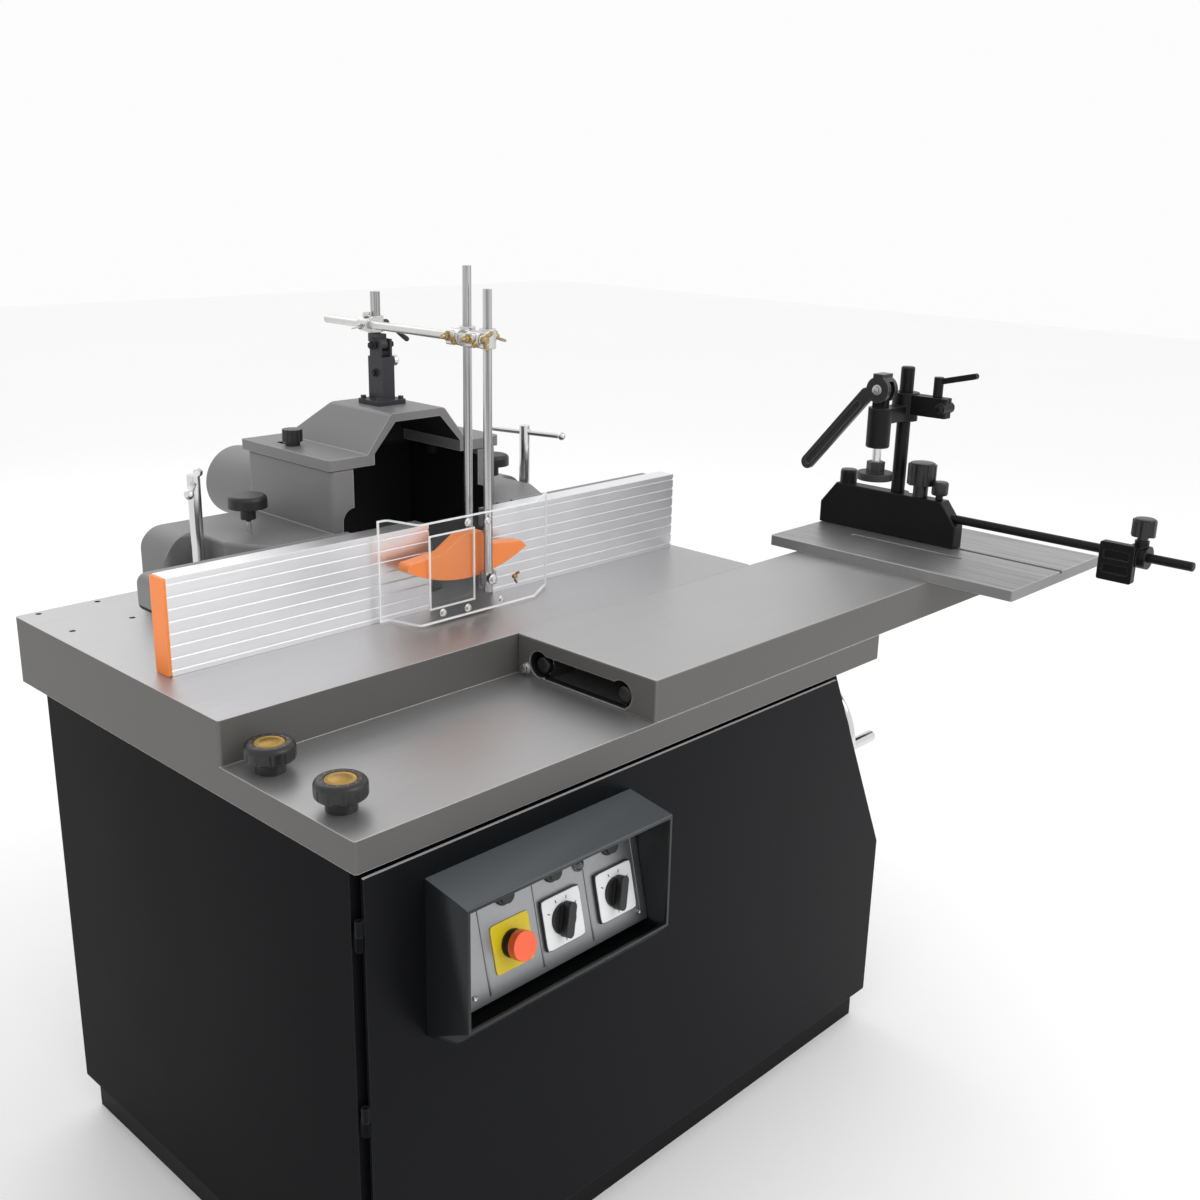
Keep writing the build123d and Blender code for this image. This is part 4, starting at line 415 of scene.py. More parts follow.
class MoulderSizes(bpy.types.PropertyGroup):
    """Sizes of the small hardware."""

    def length(title, words, default):
        return FloatProperty(name=title, description=words, default=default, min=0.0005, max=0.5,
                             subtype="DISTANCE", unit="LENGTH")

    disc_radius: length("Disc radius", "Gold disc in a lock knob", 0.0202)
    plate_side: length("Plate side", "Side of a switch plate", 0.072)
    yellow_side: length("Yellow plate side", "Side of the emergency stop's plate", 0.066)
    bolt_head: length("Bolt head", "Radius of a small hex head", 0.0052)
    wing_span: length("Wing span", "Tip to tip of a wing nut", 0.032)
    sheet: length("Inner sheet", "Thickness of the inner clear sheet", 0.0025)
    strip_drop: length("Strip drop", "Fall of the control box's sloped strip, back to front", 0.012)
    front_wall: length("Front wall", "Wall under the strip's front edge in the CAD", 0.033)
    lip: length("Lip", "Wall that is left under the strip's front edge", 0.005)
    facets: IntProperty(name="Facets", description="Sides of a round piece", default=40, min=12, max=96)


# Mesh helpers
def frame_at(place, axis=(0, 0, 1), turn=0.0):
    """Matrix whose Z is axis at place, turned about that axis."""
    spin = Vector(axis).normalized().to_track_quat("Z", "Y").to_matrix().to_4x4()
    return Matrix.Translation(Vector(place)) @ spin @ Matrix.Rotation(turn, 4, "Z")


def soften(bm, edges, width, segments=2):
    """Bevel a list of edges."""
    if edges and width > 0:
        bmesh.ops.bevel(bm, geom=list(edges), offset=width, offset_type="OFFSET", affect="EDGES",
                        segments=segments, profile=0.5, material=-1, clamp_overlap=True)


def sharp(bm, limit=0.6):
    """Edges between faces that meet at an angle."""
    return [e for e in bm.edges if len(e.link_faces) == 2 and e.calc_face_angle(0) > limit]


def turned(profile, matrix, facets=40, bevel=0.0):
    """A turned piece: the profile is a list of (radius, height), spun about Z."""
    bm = bmesh.new()
    verts = [bm.verts.new((radius, 0, height)) for radius, height in profile]
    edges = [bm.edges.new(pair) for pair in zip(verts, verts[1:])]
    bmesh.ops.spin(bm, geom=verts + edges, cent=(0, 0, 0), axis=(0, 0, 1), angle=2 * math.pi,
                   steps=facets, use_merge=True)
    bmesh.ops.remove_doubles(bm, verts=bm.verts, dist=1e-6)
    bmesh.ops.recalc_face_normals(bm, faces=bm.faces)
    soften(bm, sharp(bm), bevel)
    bmesh.ops.transform(bm, matrix=matrix, verts=bm.verts)
    return bm


def block(size, matrix, bevel=0.0006, segments=2):
    """A rounded block."""
    bm = bmesh.new()
    bmesh.ops.create_cube(bm, size=1.0)
    bmesh.ops.scale(bm, vec=size, verts=bm.verts)
    soften(bm, bm.edges[:], bevel, segments)
    bmesh.ops.transform(bm, matrix=matrix, verts=bm.verts)
    return bm


def pushed(bm, geom, depth):
    """Push faces up along Z."""
    grown = bmesh.ops.extrude_face_region(bm, geom=geom)
    moved = [g for g in grown["geom"] if isinstance(g, bmesh.types.BMVert)]
    bmesh.ops.translate(bm, vec=(0, 0, depth), verts=moved)
    bmesh.ops.recalc_face_normals(bm, faces=bm.faces)


def prism(points, depth, matrix, bevel):
    """A flat outline in X and Y, pushed up along Z."""
    bm = bmesh.new()
    face = bm.faces.new([bm.verts.new((x, y, 0)) for x, y in points])
    bmesh.ops.recalc_face_normals(bm, faces=[face])
    pushed(bm, [face], depth)
    soften(bm, sharp(bm), bevel)
    bmesh.ops.transform(bm, matrix=matrix, verts=bm.verts)
    return bm


def hex_head(radius, height, matrix):
    """A hex head with softened edges on a washer."""
    bm = bmesh.new()
    washer = height * 0.3
    for sides, reach, thick, base in ((24, radius * 1.55, washer, 0.0), (6, radius * 1.15, height, washer)):
        bmesh.ops.create_cone(bm, cap_ends=True, segments=sides, radius1=reach, radius2=reach, depth=thick,
                              matrix=Matrix.Translation((0, 0, base + thick / 2)))
    soften(bm, sharp(bm, limit=0.4), height * 0.09)
    bmesh.ops.transform(bm, matrix=matrix, verts=bm.verts)
    return bm


def socket_head(radius, height, matrix):
    """A round head with a hex socket sunk into it."""
    bm = bmesh.new()
    bmesh.ops.create_cone(bm, cap_ends=True, segments=24, radius1=radius, radius2=radius, depth=height,
                          matrix=Matrix.Translation((0, 0, height / 2)))
    top = max(bm.faces, key=lambda face: face.calc_center_median().z)
    bmesh.ops.inset_region(bm, faces=[top], thickness=radius * 0.42, depth=0)
    bmesh.ops.translate(bm, vec=(0, 0, -height * 0.5), verts=top.verts)
    soften(bm, [e for e in sharp(bm) if e.verts[0].co.xy.length > radius * 0.9], height * 0.1)
    bmesh.ops.transform(bm, matrix=matrix, verts=bm.verts)
    return bm


def wing_nut(span, matrix):
    """A hub with two rounded wings that lean outwards, on a short thread."""
    bm = turned([(0, 0), (span * 0.2, 0), (span * 0.17, span * 0.28), (0, span * 0.28)], Matrix.Identity(4), 20,
                span * 0.02)
    for side in (-1, 1):
        wing = prism([(span * 0.10, span * 0.04), (span * 0.34, span * 0.18), (span * 0.5, span * 0.42),
                      (span * 0.46, span * 0.55), (span * 0.34, span * 0.56), (span * 0.20, span * 0.36),
                      (span * 0.08, span * 0.22)], span * 0.09, Matrix.Translation((0, 0, -span * 0.045)),
                     span * 0.02)
        lean = Matrix.Rotation(math.pi / 2, 4, "X")
        flip = Matrix.Rotation(0 if side > 0 else math.pi, 4, "Z")
        bmesh.ops.transform(wing, matrix=flip @ lean, verts=wing.verts)
        merge(bm, wing)
    bmesh.ops.transform(bm, matrix=matrix, verts=bm.verts)
    return bm


def lever(length, radius, matrix):
    """A clamping lever with a thick end, leaning out from a hub."""
    bm = turned([(0, 0), (radius * 1.5, 0), (radius * 1.5, radius * 2.4), (radius * 1.1, radius * 3.0),
                 (0, radius * 3.1)], Matrix.Identity(4), 24, radius * 0.1)
    arm = turned([(0, 0), (radius * 0.85, 0), (radius * 0.7, length * 0.5), (radius * 1.05, length * 0.94),
                  (radius * 0.7, length), (0, length * 1.01)], Matrix.Identity(4), 20, radius * 0.1)
    tilt = Matrix.Translation((0, 0, radius * 1.8)) @ Matrix.Rotation(math.radians(76), 4, "Y")
    bmesh.ops.transform(arm, matrix=tilt, verts=arm.verts)
    merge(bm, arm)
    bmesh.ops.transform(bm, matrix=matrix, verts=bm.verts)
    return bm


def merge(target, source):
    """Move the geometry of one bmesh into another."""
    scratch = bpy.data.meshes.new("scratch")
    source.to_mesh(scratch)
    source.free()
    target.from_mesh(scratch)
    bpy.data.meshes.remove(scratch)
    return target


def gather(shapes):
    """Join a list of bmeshes into the first."""
    whole = shapes[0]
    for shape in shapes[1:]:
        merge(whole, shape)
    return whole


def place_piece(name, bm, body, material):
    """Turn a bmesh into an object that rides on a CAD body."""
    mesh = bpy.data.meshes.new(name)
    bm.to_mesh(mesh)
    bm.free()
    piece = bpy.data.objects.new(name, mesh)
    bpy.context.scene.collection.objects.link(piece)
    mesh.materials.append(finishes[material])
    for polygon in mesh.polygons:
        polygon.use_smooth = True
    mesh.set_sharp_from_angle(angle=0.6)
    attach(piece, body)
    return piece


def middle(node):
    """Middle of a CAD node's box."""
    low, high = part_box(node)
    return (low + high) / 2


def on_panel(x, up, out=0.0):
    """Matrix on the control panel's face: X along the machine, Y up the panel, Z outwards."""
    at = Vector((x, panel_mid.y, panel_mid.z)) + panel_up * up + panel_out * out
    return Matrix.Translation(at) @ Matrix((Vector((1, 0, 0)), panel_up, panel_out)).transposed().to_4x4()


# Operators
class MOULDER_OT_finishes(bpy.types.Operator):
    """Make the finishes and give one to every CAD piece"""

    bl_idname = "moulder.finishes"
    bl_label = "Finishes"

    def execute(self, context):
        c = context.scene.moulder_colours
        paint("charcoal_paint", c.charcoal, 0.38, 0.20, 0.22, gloss=0.025)
        # Door: the cabinet's charcoal 1.4 times lighter as painted light, with a painted highlight on its upward
        # faces near the top
        door_coat("door_paint", lighter(c.charcoal, 1.4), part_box("door_panel")[1].z - 0.004)
        paint("base_paint", lighter(c.charcoal, 0.8), 0.5, 0.3, 0.15, gloss=0.12)
        paint("black_paint", (0.0045, 0.0045, 0.0050), 0.36, 0.25, 0.45, gloss=0.2)
        paint("stand_paint", (0.028, 0.028, 0.034), 0.42, 0.35, 0.30, gloss=0.3)
        # Control box: dark paint with a painted reflection on its upward faces within 30 mm of the top
        door_coat("strip_paint", (0.010, 0.011, 0.012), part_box("control_box")[1].z - 0.030,
                  (0.085, 0.095, 0.100), 0.3, 0.3)
        # Clamp lever: edges painted strongly lighter, partly as wear and partly as a painted highlight
        paint("handle_paint", (0.012, 0.012, 0.013), 0.28, 0.2, 0.9, 0.0022, gloss=0.6)
        paint("motor_paint", (0.055, 0.085, 0.12), 0.45, 0.5, 0.2)
        paint("iron_primer", (0.10, 0.11, 0.12), 0.6, 0.8, 0.2)
        # Hood casting: grey paint, with this black as its painted inner shade
        paint_with_painted_shade("casting_paint", c.casting, (0.006, 0.006, 0.007))
        paint("spigot_paint", lighter(c.casting, 1.05), 0.42, 0.4, 0.3)
        ground_iron("table_iron", c.ground, c.edge_paint, 0.77)
        low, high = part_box("sliding_table")
        skin = 0.006
        # Sliding table: black painted shade in its hollow, inside a thin skin
        ground_iron("slide_iron", lighter(c.ground, 1.03), c.edge_paint, 0.84,
                    hollow=((low.x + 0.0035, low.y + skin), (high.x - 0.004, high.y - skin), high.z - skin))
        ground_iron("plate_iron", lighter(c.ground, 0.98), lighter(c.ground, 0.42), 0.86, (1, 0.012, 1), lines=0.9)
        steel("fence_aluminium", c.aluminium, 0.38, (0.012, 1, 1), 500.0, 0.0007)
        steel("panel_aluminium", (0.36, 0.37, 0.38), 0.42, (1, 1, 0.02), 600.0)
        steel("chrome", (0.72, 0.72, 0.73), 0.13, (1, 1, 0.05), 300.0, depth=0.00001)
        steel("satin_steel", (0.50, 0.50, 0.50), 0.32, (1, 1, 0.05), 700.0)
        steel("zinc", (0.66, 0.66, 0.65), 0.30, (1, 1, 1), 160.0)
        # Guard rods and fork: the strong dark streaks along their length are painted reflections
        steel("rod_steel", (0.66, 0.66, 0.67), 0.22, (1, 1, 0.01), 260.0, lines=1.0, dark=0.22)
        steel("fork_steel", (0.62, 0.62, 0.63), 0.24, (1, 1, 0.01), 260.0, lines=0.9, dark=0.3, black_below=1.2685)
        steel("cast_zinc", (0.66, 0.66, 0.65), 0.34, (1, 1, 1), 90.0, edge=0.0012, depth=0.0002)
        knob_on_stud("mushroom_knob", (0.010, 0.010, 0.011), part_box("wing_knob_left")[0].z + 0.026)
        plunger_finish("plunger_black_and_steel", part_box("clamp_plunger")[0].z + 0.0342)
        steel("brass", (0.56, 0.42, 0.22), 0.34, (1, 1, 1), 300.0, lines=0.9, dark=0.5)
        steel("bearing_steel", (0.42, 0.42, 0.43), 0.25, (1, 1, 0.05), 500.0)
        plastic("black_plastic", (0.008, 0.008, 0.009), 0.34, 0.3, 0.0012, shine=0.5, pale=0.08)
        plastic("orange_plastic", c.orange, 0.38, 0.25, 0.0020, coat=0.05, shine=0.8, pale=0.22)
        plastic("red_plastic", (0.86, 0.10, 0.02), 0.28, 0.15, coat=0.4)
        plastic("yellow_plastic", (0.72, 0.56, 0.01), 0.40, 0.15)
        plastic("white_plastic", (0.78, 0.79, 0.80), 0.34, 0.10)
        plastic("lamp_glass", (0.03, 0.035, 0.035), 0.12, 0.05, coat=0.8)
        plastic("belt_rubber", (0.014, 0.014, 0.014), 0.75, 0.8)
        for name, corners in (("clear_sheet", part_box("visor")), ("inner_clear_sheet", inner_sheet)):
            clear_sheet(name, (0.88, 0.93, 0.93), *corners, 0.0026)
        gold("gold_disc", (0.42, 0.26, 0.06))
        wanted = {
            "charcoal_paint": ["cabinet_shell", "control_box"],
            "door_paint": ["door_panel"],
            "base_paint": ["base_frame"],
            "black_paint": ["mitre_fence", "clamp_post", "clamp_arm", "mitre_bar", "stop_block", "index_lever"],
            "handle_paint": ["clamp_lever"],
            "stand_paint": ["guard_mast"],
            "motor_paint": ["motor"],
            "iron_primer": ["spindle_housing", "quill_carrier"],
            "casting_paint": ["hood_box", "hood_cover"],
            "spigot_paint": ["extraction_spigot"],
            "table_iron": ["table", "table_rings"],
            "slide_iron": ["sliding_table"],
            "plate_iron": ["mitre_plate"],
            "fence_aluminium": ["fence_board_left", "fence_board_right", "spindle_pulley", "motor_pulley"],
            "panel_aluminium": ["control_panel"],
            "chrome": ["t_handle_left", "t_handle_right", "handwheel"],
            "rod_steel": ["guard_rod_front", "guard_rod_rear"],
            "fork_steel": ["guard_fork"],
            "satin_steel": ["slide_rails", "slide_bearings", "quill", "lift_screw", "arbor_rings"],
            "cast_zinc": ["cross_clamp", "guard_arm"],
            "mushroom_knob": ["wing_knob_left", "wing_knob_right"],
            "plunger_black_and_steel": ["clamp_plunger"],
            "bearing_steel": ["spindle_bearings", "spindle_shaft"],
            "black_plastic": ["lock_knob_front", "lock_knob_rear", "mitre_lock_knob", "stop_knob", "cover_knob",
                              "rotary_switch_left", "rotary_switch_right",
                              "push_button_left", "push_button_middle", "push_button_right"],
            "orange_plastic": ["fence_end_cap", "presser_shoe"],
            "red_plastic": ["estop_button"],
            "belt_rubber": ["drive_belt"],
            "clear_sheet": ["visor"],
        }
        given = set()
        for material, members in wanted.items():
            for member in members:
                mesh = nodes[member].data
                mesh.materials.clear()
                mesh.materials.append(finishes[material])
                given.add(member)
        left = sorted(set(nodes) - given)
        if left:
            raise RuntimeError("no finish for " + ", ".join(left))
        return {"FINISHED"}


class MOULDER_OT_ledge_knobs(bpy.types.Operator):
    """Plain gold discs and gold marks on the two lock knobs"""

    bl_idname = "moulder.ledge_knobs"
    bl_label = "Ledge knobs"

    def execute(self, context):
        s = context.scene.moulder_sizes
        for side in ("front", "rear"):
            at = middle("lock_knob_" + side)
            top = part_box("lock_knob_" + side)[1].z
            r = s.disc_radius
            disc = turned([(0, 0), (r, 0), (r, 0.0008), (r * 0.93, 0.0014), (r * 0.90, 0.0011),
                           (r * 0.6, 0.0011), (r * 0.57, 0.0015), (0, 0.0016)],
                          frame_at((at.x, at.y, top - 0.0016)), s.facets, 0.0001)
            place_piece("gold_disc_" + side, disc, "ledge_knob_" + side, "gold_disc")
            marks = []
            ring_radius = 0.0238
            for step in range(12):
                turn = math.radians(30 * step + 15)
                way = Vector((math.cos(turn), math.sin(turn), 0))
                spot = Vector((at.x, at.y, top - 0.0003)) + way * ring_radius
                marks.append(block((0.0032, 0.0011, 0.0008),
                                   Matrix.Translation(spot) @ Matrix.Rotation(turn, 4, "Z"), 0.0002))
            place_piece("knob_marks_" + side, gather(marks), "ledge_knob_" + side, "gold_disc")
        return {"FINISHED"}


class MOULDER_OT_control_plates(bpy.types.Operator):
    """Switch plates, the yellow plate, the lamp and the screws of the control panel"""

    bl_idname = "moulder.control_plates"
    bl_label = "Control plates"

    def execute(self, context):
        s = context.scene.moulder_sizes
        self.control_hood(s)
        for side in ("left", "right"):
            x = middle("rotary_switch_" + side).x
            half = s.plate_side / 2
            for name, size, out, depth, material in (
                    ("switch_base_", half, 0.0, 0.0042, "black_plastic"),
                    ("switch_plate_", half - 0.0012, 0.0042, 0.0012, "white_plastic")):
                plate = self.holed_square(size, 0.0216, depth, on_panel(x, switch_row, out))
                place_piece(name + side, plate, "door", material)
            centre = on_panel(x, switch_row, 0.0055)
            mark_radius = 0.0285
            marks = [block((0.0014, 0.0046, 0.0005),
                           centre @ Matrix.Rotation(-math.radians(turn), 4, "Z")
                           @ Matrix.Translation((0, mark_radius, 0)), 0.0001)
                     for turn in (-60, -20, 20, 60, 180)]
            place_piece("switch_marks_" + side, gather(marks), "door", "black_plastic")
        x = middle("estop_button").x
        bore = 0.0118
        plate = self.holed_square(s.yellow_side / 2, bore, 0.0015, on_panel(x, switch_row))
        place_piece("estop_plate", plate, "door", "yellow_plastic")
        collar = turned([(bore, 0.0015), (0.019, 0.0015), (0.019, 0.004), (0.0165, 0.0085), (bore, 0.0085)],
                        on_panel(x, switch_row), s.facets, 0.0003)
        place_piece("estop_collar", collar, "door", "black_plastic")
        for place in ("left", "middle", "right"):
            ring = turned([(0.0115, 0.0), (0.0150, 0.0), (0.0150, 0.0018), (0.0138, 0.0036), (0.0115, 0.0036)],
                          on_panel(middle("push_button_" + place).x, button_row), s.facets, 0.0003)
            place_piece("button_ring_" + place, ring, "door", "black_plastic")
        lamp = turned([(0, 0.0), (0.0098, 0.0), (0.0098, 0.0022), (0.0085, 0.003), (0.0078, 0.003),
                       (0.006, 0.0062), (0.003, 0.0078), (0, 0.0082)],
                      on_panel(-0.212, lamp_row), s.facets, 0.0002)
        place_piece("panel_lamp", lamp, "door", "lamp_glass")
        screws = [socket_head(0.0034, 0.0026, on_panel(px, up, 0.0)) for px, up in
                  ((-0.418, 0.034), (-0.418, 0.012), (-0.418, -0.058), (-0.113, -0.058), (-0.113, 0.050))]
        place_piece("panel_screws", gather(screws), "door", "satin_steel")
        ridges = [block((0.0022, 0.132, 0.0012), on_panel(px, 0.0, 0.0006), 0.0004)
                  for px in (-0.392, -0.297, -0.2035, -0.108)]
        place_piece("panel_ridges", gather(ridges), "door", "panel_aluminium")
        return {"FINISHED"}

    def control_hood(self, s):
        """The control box with most of the wall under its strip's front edge taken up."""
        low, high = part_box("control_box")
        hood = bmesh.new()
        hood.from_mesh(nodes["control_box"].data)
        bmesh.ops.remove_doubles(hood, verts=hood.verts, dist=1e-5)
        lip = high.z - s.strip_drop - s.front_wall
        edge = [v for v in hood.verts if abs(v.co.z - lip) < 0.0006 and v.co.y < low.y + 0.0055]
        if not edge:
            raise RuntimeError("the control box has no front lip at %.4f" % lip)
        bmesh.ops.translate(hood, vec=(0, 0, s.front_wall - s.lip), verts=edge)
        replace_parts(place_piece("control_hood", hood, "door", "strip_paint"), "control_box")

    def holed_square(self, half, hole, depth, matrix):
        """A rounded square plate with a round hole through it."""
        bm = bmesh.new()
        facets = 48
        bmesh.ops.create_circle(bm, cap_ends=False, radius=hole, segments=facets)
        corner = 0.004
        outer = []
        for index in range(facets):
            angle = 2 * math.pi * index / facets
            x, y = math.cos(angle), math.sin(angle)
            reach = half / max(abs(x), abs(y))
            px, py = x * reach, y * reach
            rim = half - corner
            if abs(px) > rim and abs(py) > rim:
                off = Vector((abs(px) - rim, abs(py) - rim)).normalized() * corner
                px, py = math.copysign(rim + off.x, px), math.copysign(rim + off.y, py)
            outer.append(bm.verts.new((px, py, 0)))
        loop = [bm.edges.new((a, b)) for a, b in zip(outer, outer[1:] + outer[:1])]
        ring = [e for e in bm.edges if e not in set(loop)]
        bmesh.ops.bridge_loops(bm, edges=loop + ring)
        pushed(bm, bm.faces[:], depth)
        bmesh.ops.transform(bm, matrix=matrix, verts=bm.verts)
        return bm


class MOULDER_OT_guard_hardware(bpy.types.Operator):
    """Arm with its rod clamps, bolts, wing nuts, lever and inner clear sheet of the guard"""

    bl_idname = "moulder.guard_hardware"
    bl_label = "Guard hardware"

    def execute(self, context):
        s = context.scene.moulder_sizes
        self.visor_pieces(s)
        self.arm_pieces(s)
        self.clamp_and_mast_pieces(s)
        return {"FINISHED"}

    def visor_pieces(self, s):
        """Heads on the visor's face and the inner sheet behind it."""
        r = s.bolt_head
        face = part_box("visor")[0].y
        bolts = [hex_head(r * 0.8, 0.004, frame_at((x, face - 0.0001, z), (0, -1, 0)))
                 for x, z in ((-0.0475, 1.005), (-0.0065, 1.000), (-0.049, 0.866), (-0.100, 0.869), (0.0215, 0.865))]
        bolts.append(hex_head(r, 0.005, frame_at((0.004, face - 0.0001, 0.903), (0, -1, 0))))
        place_piece("visor_bolts", gather(bolts), "front_guard", "chrome")
        nut = wing_nut(s.wing_span * 0.65, frame_at((0.050, face - 0.0002, 0.899), (0, -1, 0), 1.3))
        place_piece("visor_wing_nut", nut, "front_guard", "brass")
        low, high = inner_sheet
        sheet = block((high.x - low.x, s.sheet, high.z - low.z), Matrix.Translation((low + high) / 2), 0.0005)
        place_piece("inner_sheet", sheet, "front_guard", "inner_clear_sheet")

    def arm_pieces(self, s):
        """The arm with a cast clamp round each rod, and the clamps' brass bolts and nuts."""
        r = s.bolt_head
        arm_x, arm_z, rod_x = -0.018, middle("guard_arm").z, 0.004
        front_y, rear_y = middle("guard_rod_front").y - 0.0003, middle("guard_rod_rear").y
        past_rod = 0.0145
        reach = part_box("guard_arm")[1].y - front_y + past_rod
        shapes = [turned([(0.0054, 0), (0.0070, 0), (0.0070, reach), (0.0054, reach), (0.0054, 0)],
                         frame_at((arm_x, front_y - past_rod, arm_z), (0, 1, 0)), 28, 0.0003)]
        for y in (front_y, rear_y):
            shapes += [turned([(0, 0), (0.0118, 0), (0.0126, 0.0010), (0.0126, 0.0270), (0.0118, 0.0280),
                               (0, 0.0280)], frame_at((arm_x, y - 0.0140, arm_z), (0, 1, 0)), 32),
                       turned([(0.0071, 0), (0.0122, 0), (0.0130, 0.0010), (0.0130, 0.0290), (0.0122, 0.0300),
                               (0.0071, 0.0300), (0.0071, 0)], frame_at((rod_x, y, arm_z - 0.0150)), 32),
                       block((0.0150, 0.0240, 0.0240), Matrix.Translation((-0.0070, y, arm_z)), 0.0030, 3),
                       block((0.0090, 0.0150, 0.0220), Matrix.Translation((-0.0300, y, arm_z)), 0.0026, 3)]
        arm = place_piece("arm_and_clamps", gather(shapes), "arm", "cast_zinc")
        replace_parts(arm, "guard_arm")
        for name, y in (("front", front_y), ("rear", rear_y)):
            shapes = [hex_head(r, 0.0050, frame_at((-0.0344, y, arm_z + 0.002), (-1, 0, 0))),
                      turned([(0, 0), (0.0036, 0), (0.0036, 0.008), (0.0030, 0.009), (0, 0.009)],
                             frame_at((-0.0388, y, arm_z + 0.002), (-1, 0, 0)), 20, 0.0003),
                      hex_head(r * 0.8, 0.0045, frame_at((-0.0300, y - 0.0074, arm_z - 0.005), (0, -1, 0)))]
            place_piece("rod_bolt_" + name, gather(shapes), "arm", "brass")
        nuts = gather([wing_nut(s.wing_span * 0.9, frame_at((0.0165, y, arm_z + 0.002), (1, 0, 0), turn))
                       for y, turn in ((front_y, 0.5), (rear_y, -0.4))])
        place_piece("rod_wing_nuts", nuts, "arm", "brass")
        bow = wing_nut(s.wing_span, frame_at((arm_x, front_y - 0.0143, arm_z), (0, -1, 0), 1.2))
        place_piece("arm_wing_nut", bow, "arm", "brass")

    def clamp_and_mast_pieces(self, s):
        """Lever and screws of the cross clamp, and bolts of the mast."""
        r = s.bolt_head
        clamp = middle("cross_clamp")
        handle = lever(0.052, 0.0042, frame_at((0.0125, clamp.y, clamp.z), (1, 0, 0), math.radians(-150)))
        place_piece("cross_lever", handle, "mast_clamp", "black_plastic")
        screws = gather([wing_nut(s.wing_span * 0.7, frame_at((-0.0305, clamp.y, clamp.z - 0.003), (-1, 0, 0), 0.4)),
                         hex_head(r, 0.005, frame_at((-0.018, clamp.y, clamp.z + 0.0131), (0, 0, 1)))])
        place_piece("cross_screws", screws, "mast_clamp", "zinc")
        _, y, z = tilt_pivot
        heads = [hex_head(r, 0.005, frame_at((side * 0.0166, y, z), (side, 0, 0))) for side in (-1, 1)]
        heads += [hex_head(r * 0.9, 0.0045, frame_at((side * 0.0126, y, z - 0.045), (side, 0, 0)))
                  for side in (-1, 1)]
        place_piece("mast_bolts", gather(heads), "cover", "black_paint")
        knob = turned([(0, 0), (0.004, 0), (0.004, 0.008), (0.0085, 0.010), (0.0095, 0.016), (0.007, 0.020),
                       (0, 0.021)], frame_at((0.0126, 0.083, 1.222), (1, 0, 0)), 28, 0.0004)
        place_piece("mast_knob", knob, "cover", "chrome")


class MOULDER_OT_mitre_hardware(bpy.types.Operator):
    """Knobs, screws and pins of the mitre fence and its clamp"""

    bl_idname = "moulder.mitre_hardware"
    bl_label = "Mitre hardware"

    def execute(self, context):
        s = context.scene.moulder_sizes
        small = turned([(0, 0), (0.007, 0), (0.007, 0.009), (0.0140, 0.010), (0.0155, 0.013), (0.0155, 0.032),
                        (0.0135, 0.035), (0, 0.0355)], frame_at((mitre_x, small_knob_y, mitre_top)), s.facets, 0.0004)
        place_piece("mitre_small_knob", small, "mitre", "black_plastic")
        cap = turned([(0, 0), (0.0152, 0), (0.0160, 0.002), (0.0150, 0.004), (0.006, 0.0048), (0, 0.0048)],
                     frame_at((mitre_x, mitre_pivot_y, mitre_top + 0.0238)), s.facets, 0.0003)
        place_piece("pivot_cap", cap, "mitre", "black_plastic")
        lock_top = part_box("mitre_lock_knob")[1].z
        lid = turned([(0, 0), (0.022, 0), (0.0235, 0.0016), (0.022, 0.0034), (0, 0.0038)],
                     frame_at((mitre_x, lock_knob_y, lock_top - 0.0006)), s.facets, 0.0003)
        place_piece("lock_knob_lid", lid, "mitre_knob", "black_plastic")
        stop_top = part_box("stop_knob")[1].z
        stop_lid = turned([(0, 0), (0.0165, 0), (0.0175, 0.0014), (0.016, 0.003), (0, 0.0032)],
                          frame_at((mitre_x, stop_y, stop_top - 0.0005)), s.facets, 0.0003)
        place_piece("stop_knob_lid", stop_lid, "stop_screw", "black_plastic")
        for name, (x, y, z), grow, apart, material, slot in (
                ("cam_pin_heads", cam_pin, 1.2, 0.0161, "satin_steel", "galvanised"),
                ("ear_bolts", clamp_ear, 1.3, 0.0171, "black_paint", "black_paint")):
            pair = [hex_head(s.bolt_head * grow, 0.006, frame_at((x + side * apart, y, z), (side, 0, 0)))
                    for side in (-1, 1)]
            place_piece(name, gather(pair), "clamp", material)
        return {"FINISHED"}


class MOULDER_OT_machine_hardware(bpy.types.Operator):
    """End bolt of the sliding table, caps of its rails, and bolts of the quill carrier"""

    bl_idname = "moulder.machine_hardware"
    bl_label = "Machine hardware"

    def execute(self, context):
        s = context.scene.moulder_sizes
        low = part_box("sliding_table")[0]
        end_bolt = hex_head(s.bolt_head * 1.25, 0.006, frame_at((low.x, -0.3195, 0.799), (-1, 0, 0)))
        place_piece("slide_end_bolt", end_bolt, "slide", "zinc")
        rail_low, rail_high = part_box("slide_rails")
        rail_radius = 0.014
        caps = [turned([(0, 0), (0.0139, 0), (0.0139, 0.0080), (0.0125, 0.0105), (0.0090, 0.0120), (0, 0.0125)],
                       frame_at((rail_low.x + 0.0002, y, rail_high.z - rail_radius), (-1, 0, 0)), s.facets, 0.0004)
                for y in (rail_low.y + rail_radius, rail_high.y - rail_radius)]
        place_piece("rail_caps", gather(caps), "frame", "black_plastic")
        feet = gather([hex_head(s.bolt_head * 1.3, 0.006, frame_at((x, y, carrier_top)))
                       for x, y in ((-0.072, 0.0), (0.1, -0.29), (0.14, -0.29))])
        place_piece("carrier_bolts", feet, "quill_unit", "zinc")
        return {"FINISHED"}


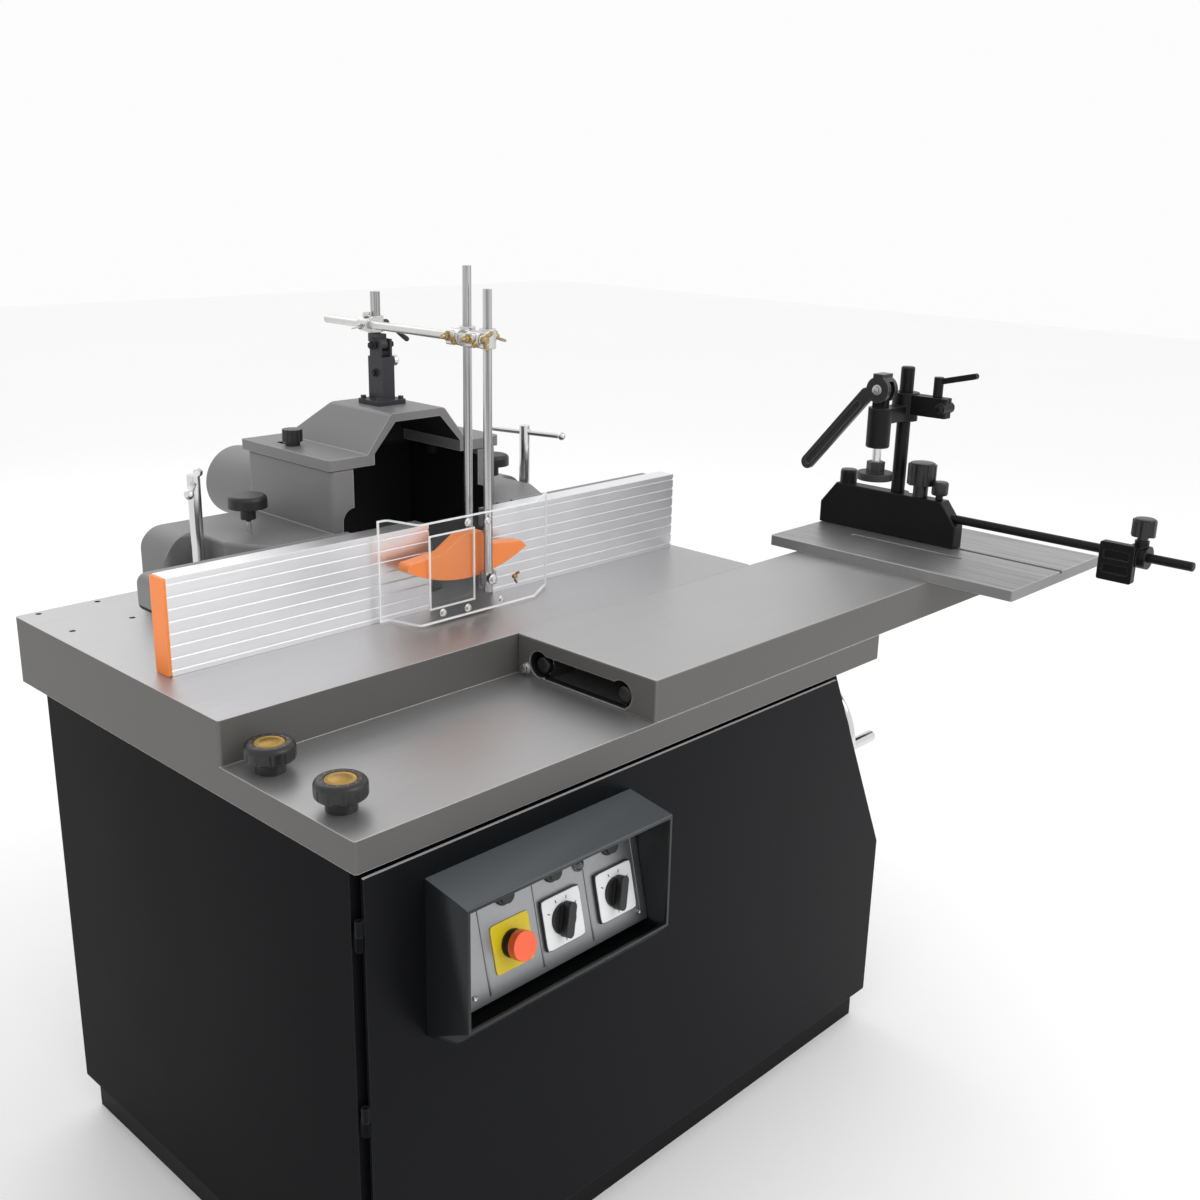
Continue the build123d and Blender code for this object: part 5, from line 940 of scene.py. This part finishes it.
class MOULDER_OT_studio(bpy.types.Operator):
    """Pale floor, soft lights and the camera of the photograph's view"""

    bl_idname = "moulder.studio"
    bl_label = "Studio"

    def execute(self, context):
        context.scene.view_settings.view_transform = "Standard"
        floor_finish("studio_floor", (0.97, 0.97, 0.97))
        bm = bmesh.new()
        bmesh.ops.create_grid(bm, x_segments=2, y_segments=2, size=14)
        mesh = bpy.data.meshes.new("studio_floor")
        bm.to_mesh(mesh)
        bm.free()
        floor = bpy.data.objects.new("studio_floor", mesh)
        mesh.materials.append(finishes["studio_floor"])
        context.scene.collection.objects.link(floor)
        self.lights(context)
        self.photo_camera(context)
        return {"FINISHED"}

    def lights(self, context):
        """Two soft lamps that look at the machine, and a white world."""
        looked_at = Vector((0.1, -0.2, 0.75))
        for name, place, size, power, tint in (
                ("key_light", (1.4, -3.4, 3.6), 2.6, 52.0, (1.0, 0.99, 0.98)),
                ("back_light", (0.4, 3.4, 3.6), 3.0, 26.0, (1.0, 1.0, 1.0))):
            light = bpy.data.lights.new(name, "AREA")
            light.energy = power
            light.size = size
            light.color = tint
            lamp = bpy.data.objects.new(name, light)
            context.scene.collection.objects.link(lamp)
            aim = (looked_at - Vector(place)).to_track_quat("-Z", "Y")
            lamp.matrix_world = Matrix.Translation(place) @ aim.to_matrix().to_4x4()
        world = bpy.data.worlds.new("studio_world")
        world.use_nodes = True
        sky = world.node_tree.nodes["Background"]
        sky.inputs["Color"].default_value = (1.0, 1.0, 1.0, 1.0)
        sky.inputs["Strength"].default_value = 0.98
        context.scene.world = world

    def photo_camera(self, context):
        """The camera of the photograph: turned to the right, looking down, with a slight roll."""
        turn, tilt, roll = math.radians(46.6), math.radians(17.2), math.radians(1.3)
        ahead = Vector((math.sin(turn) * math.cos(tilt), math.cos(turn) * math.cos(tilt), -math.sin(tilt)))
        right = ahead.cross(Vector((0, 0, 1))).normalized()
        up = right.cross(ahead)
        right, up = (right * math.cos(roll) + up * math.sin(roll),
                     up * math.cos(roll) - right * math.sin(roll))
        lens = bpy.data.cameras.new("photo_camera")
        lens.sensor_width = 36.0
        lens.lens = 40.56
        lens.clip_end = 60.0
        camera = bpy.data.objects.new("photo_camera", lens)
        context.scene.collection.objects.link(camera)
        axes = Matrix((right, up, -ahead)).transposed().to_4x4()
        camera.matrix_world = Matrix.Translation((-1.3889, -1.7440, 1.5157)) @ axes
        context.scene.camera = camera


operators = (MOULDER_OT_studio, MOULDER_OT_finishes, MOULDER_OT_ledge_knobs, MOULDER_OT_control_plates,
             MOULDER_OT_guard_hardware, MOULDER_OT_mitre_hardware, MOULDER_OT_machine_hardware)


class MOULDER_PT_panel(bpy.types.Panel):
    """Lists the steps that dress the machine"""

    bl_idname = "MOULDER_PT_panel"
    bl_label = "Spindle moulder"
    bl_space_type = "VIEW_3D"
    bl_region_type = "UI"
    bl_category = "Moulder"

    def draw(self, context):
        for name in MoulderColours.__annotations__:
            self.layout.prop(context.scene.moulder_colours, name)
        for name in MoulderSizes.__annotations__:
            self.layout.prop(context.scene.moulder_sizes, name)
        for operator in operators:
            self.layout.operator(operator.bl_idname)


classes = (MoulderColours, MoulderSizes, *operators, MOULDER_PT_panel)


def register():
    for item in classes:
        bpy.utils.register_class(item)
    bpy.types.Scene.moulder_colours = PointerProperty(type=MoulderColours)
    bpy.types.Scene.moulder_sizes = PointerProperty(type=MoulderSizes)


def unregister():
    del bpy.types.Scene.moulder_sizes
    del bpy.types.Scene.moulder_colours
    for item in reversed(classes):
        bpy.utils.unregister_class(item)


def main():
    register()
    for operator in operators:
        group, step = operator.bl_idname.split(".")
        getattr(getattr(bpy.ops, group), step)()


if __name__ == "__main__":
    main()
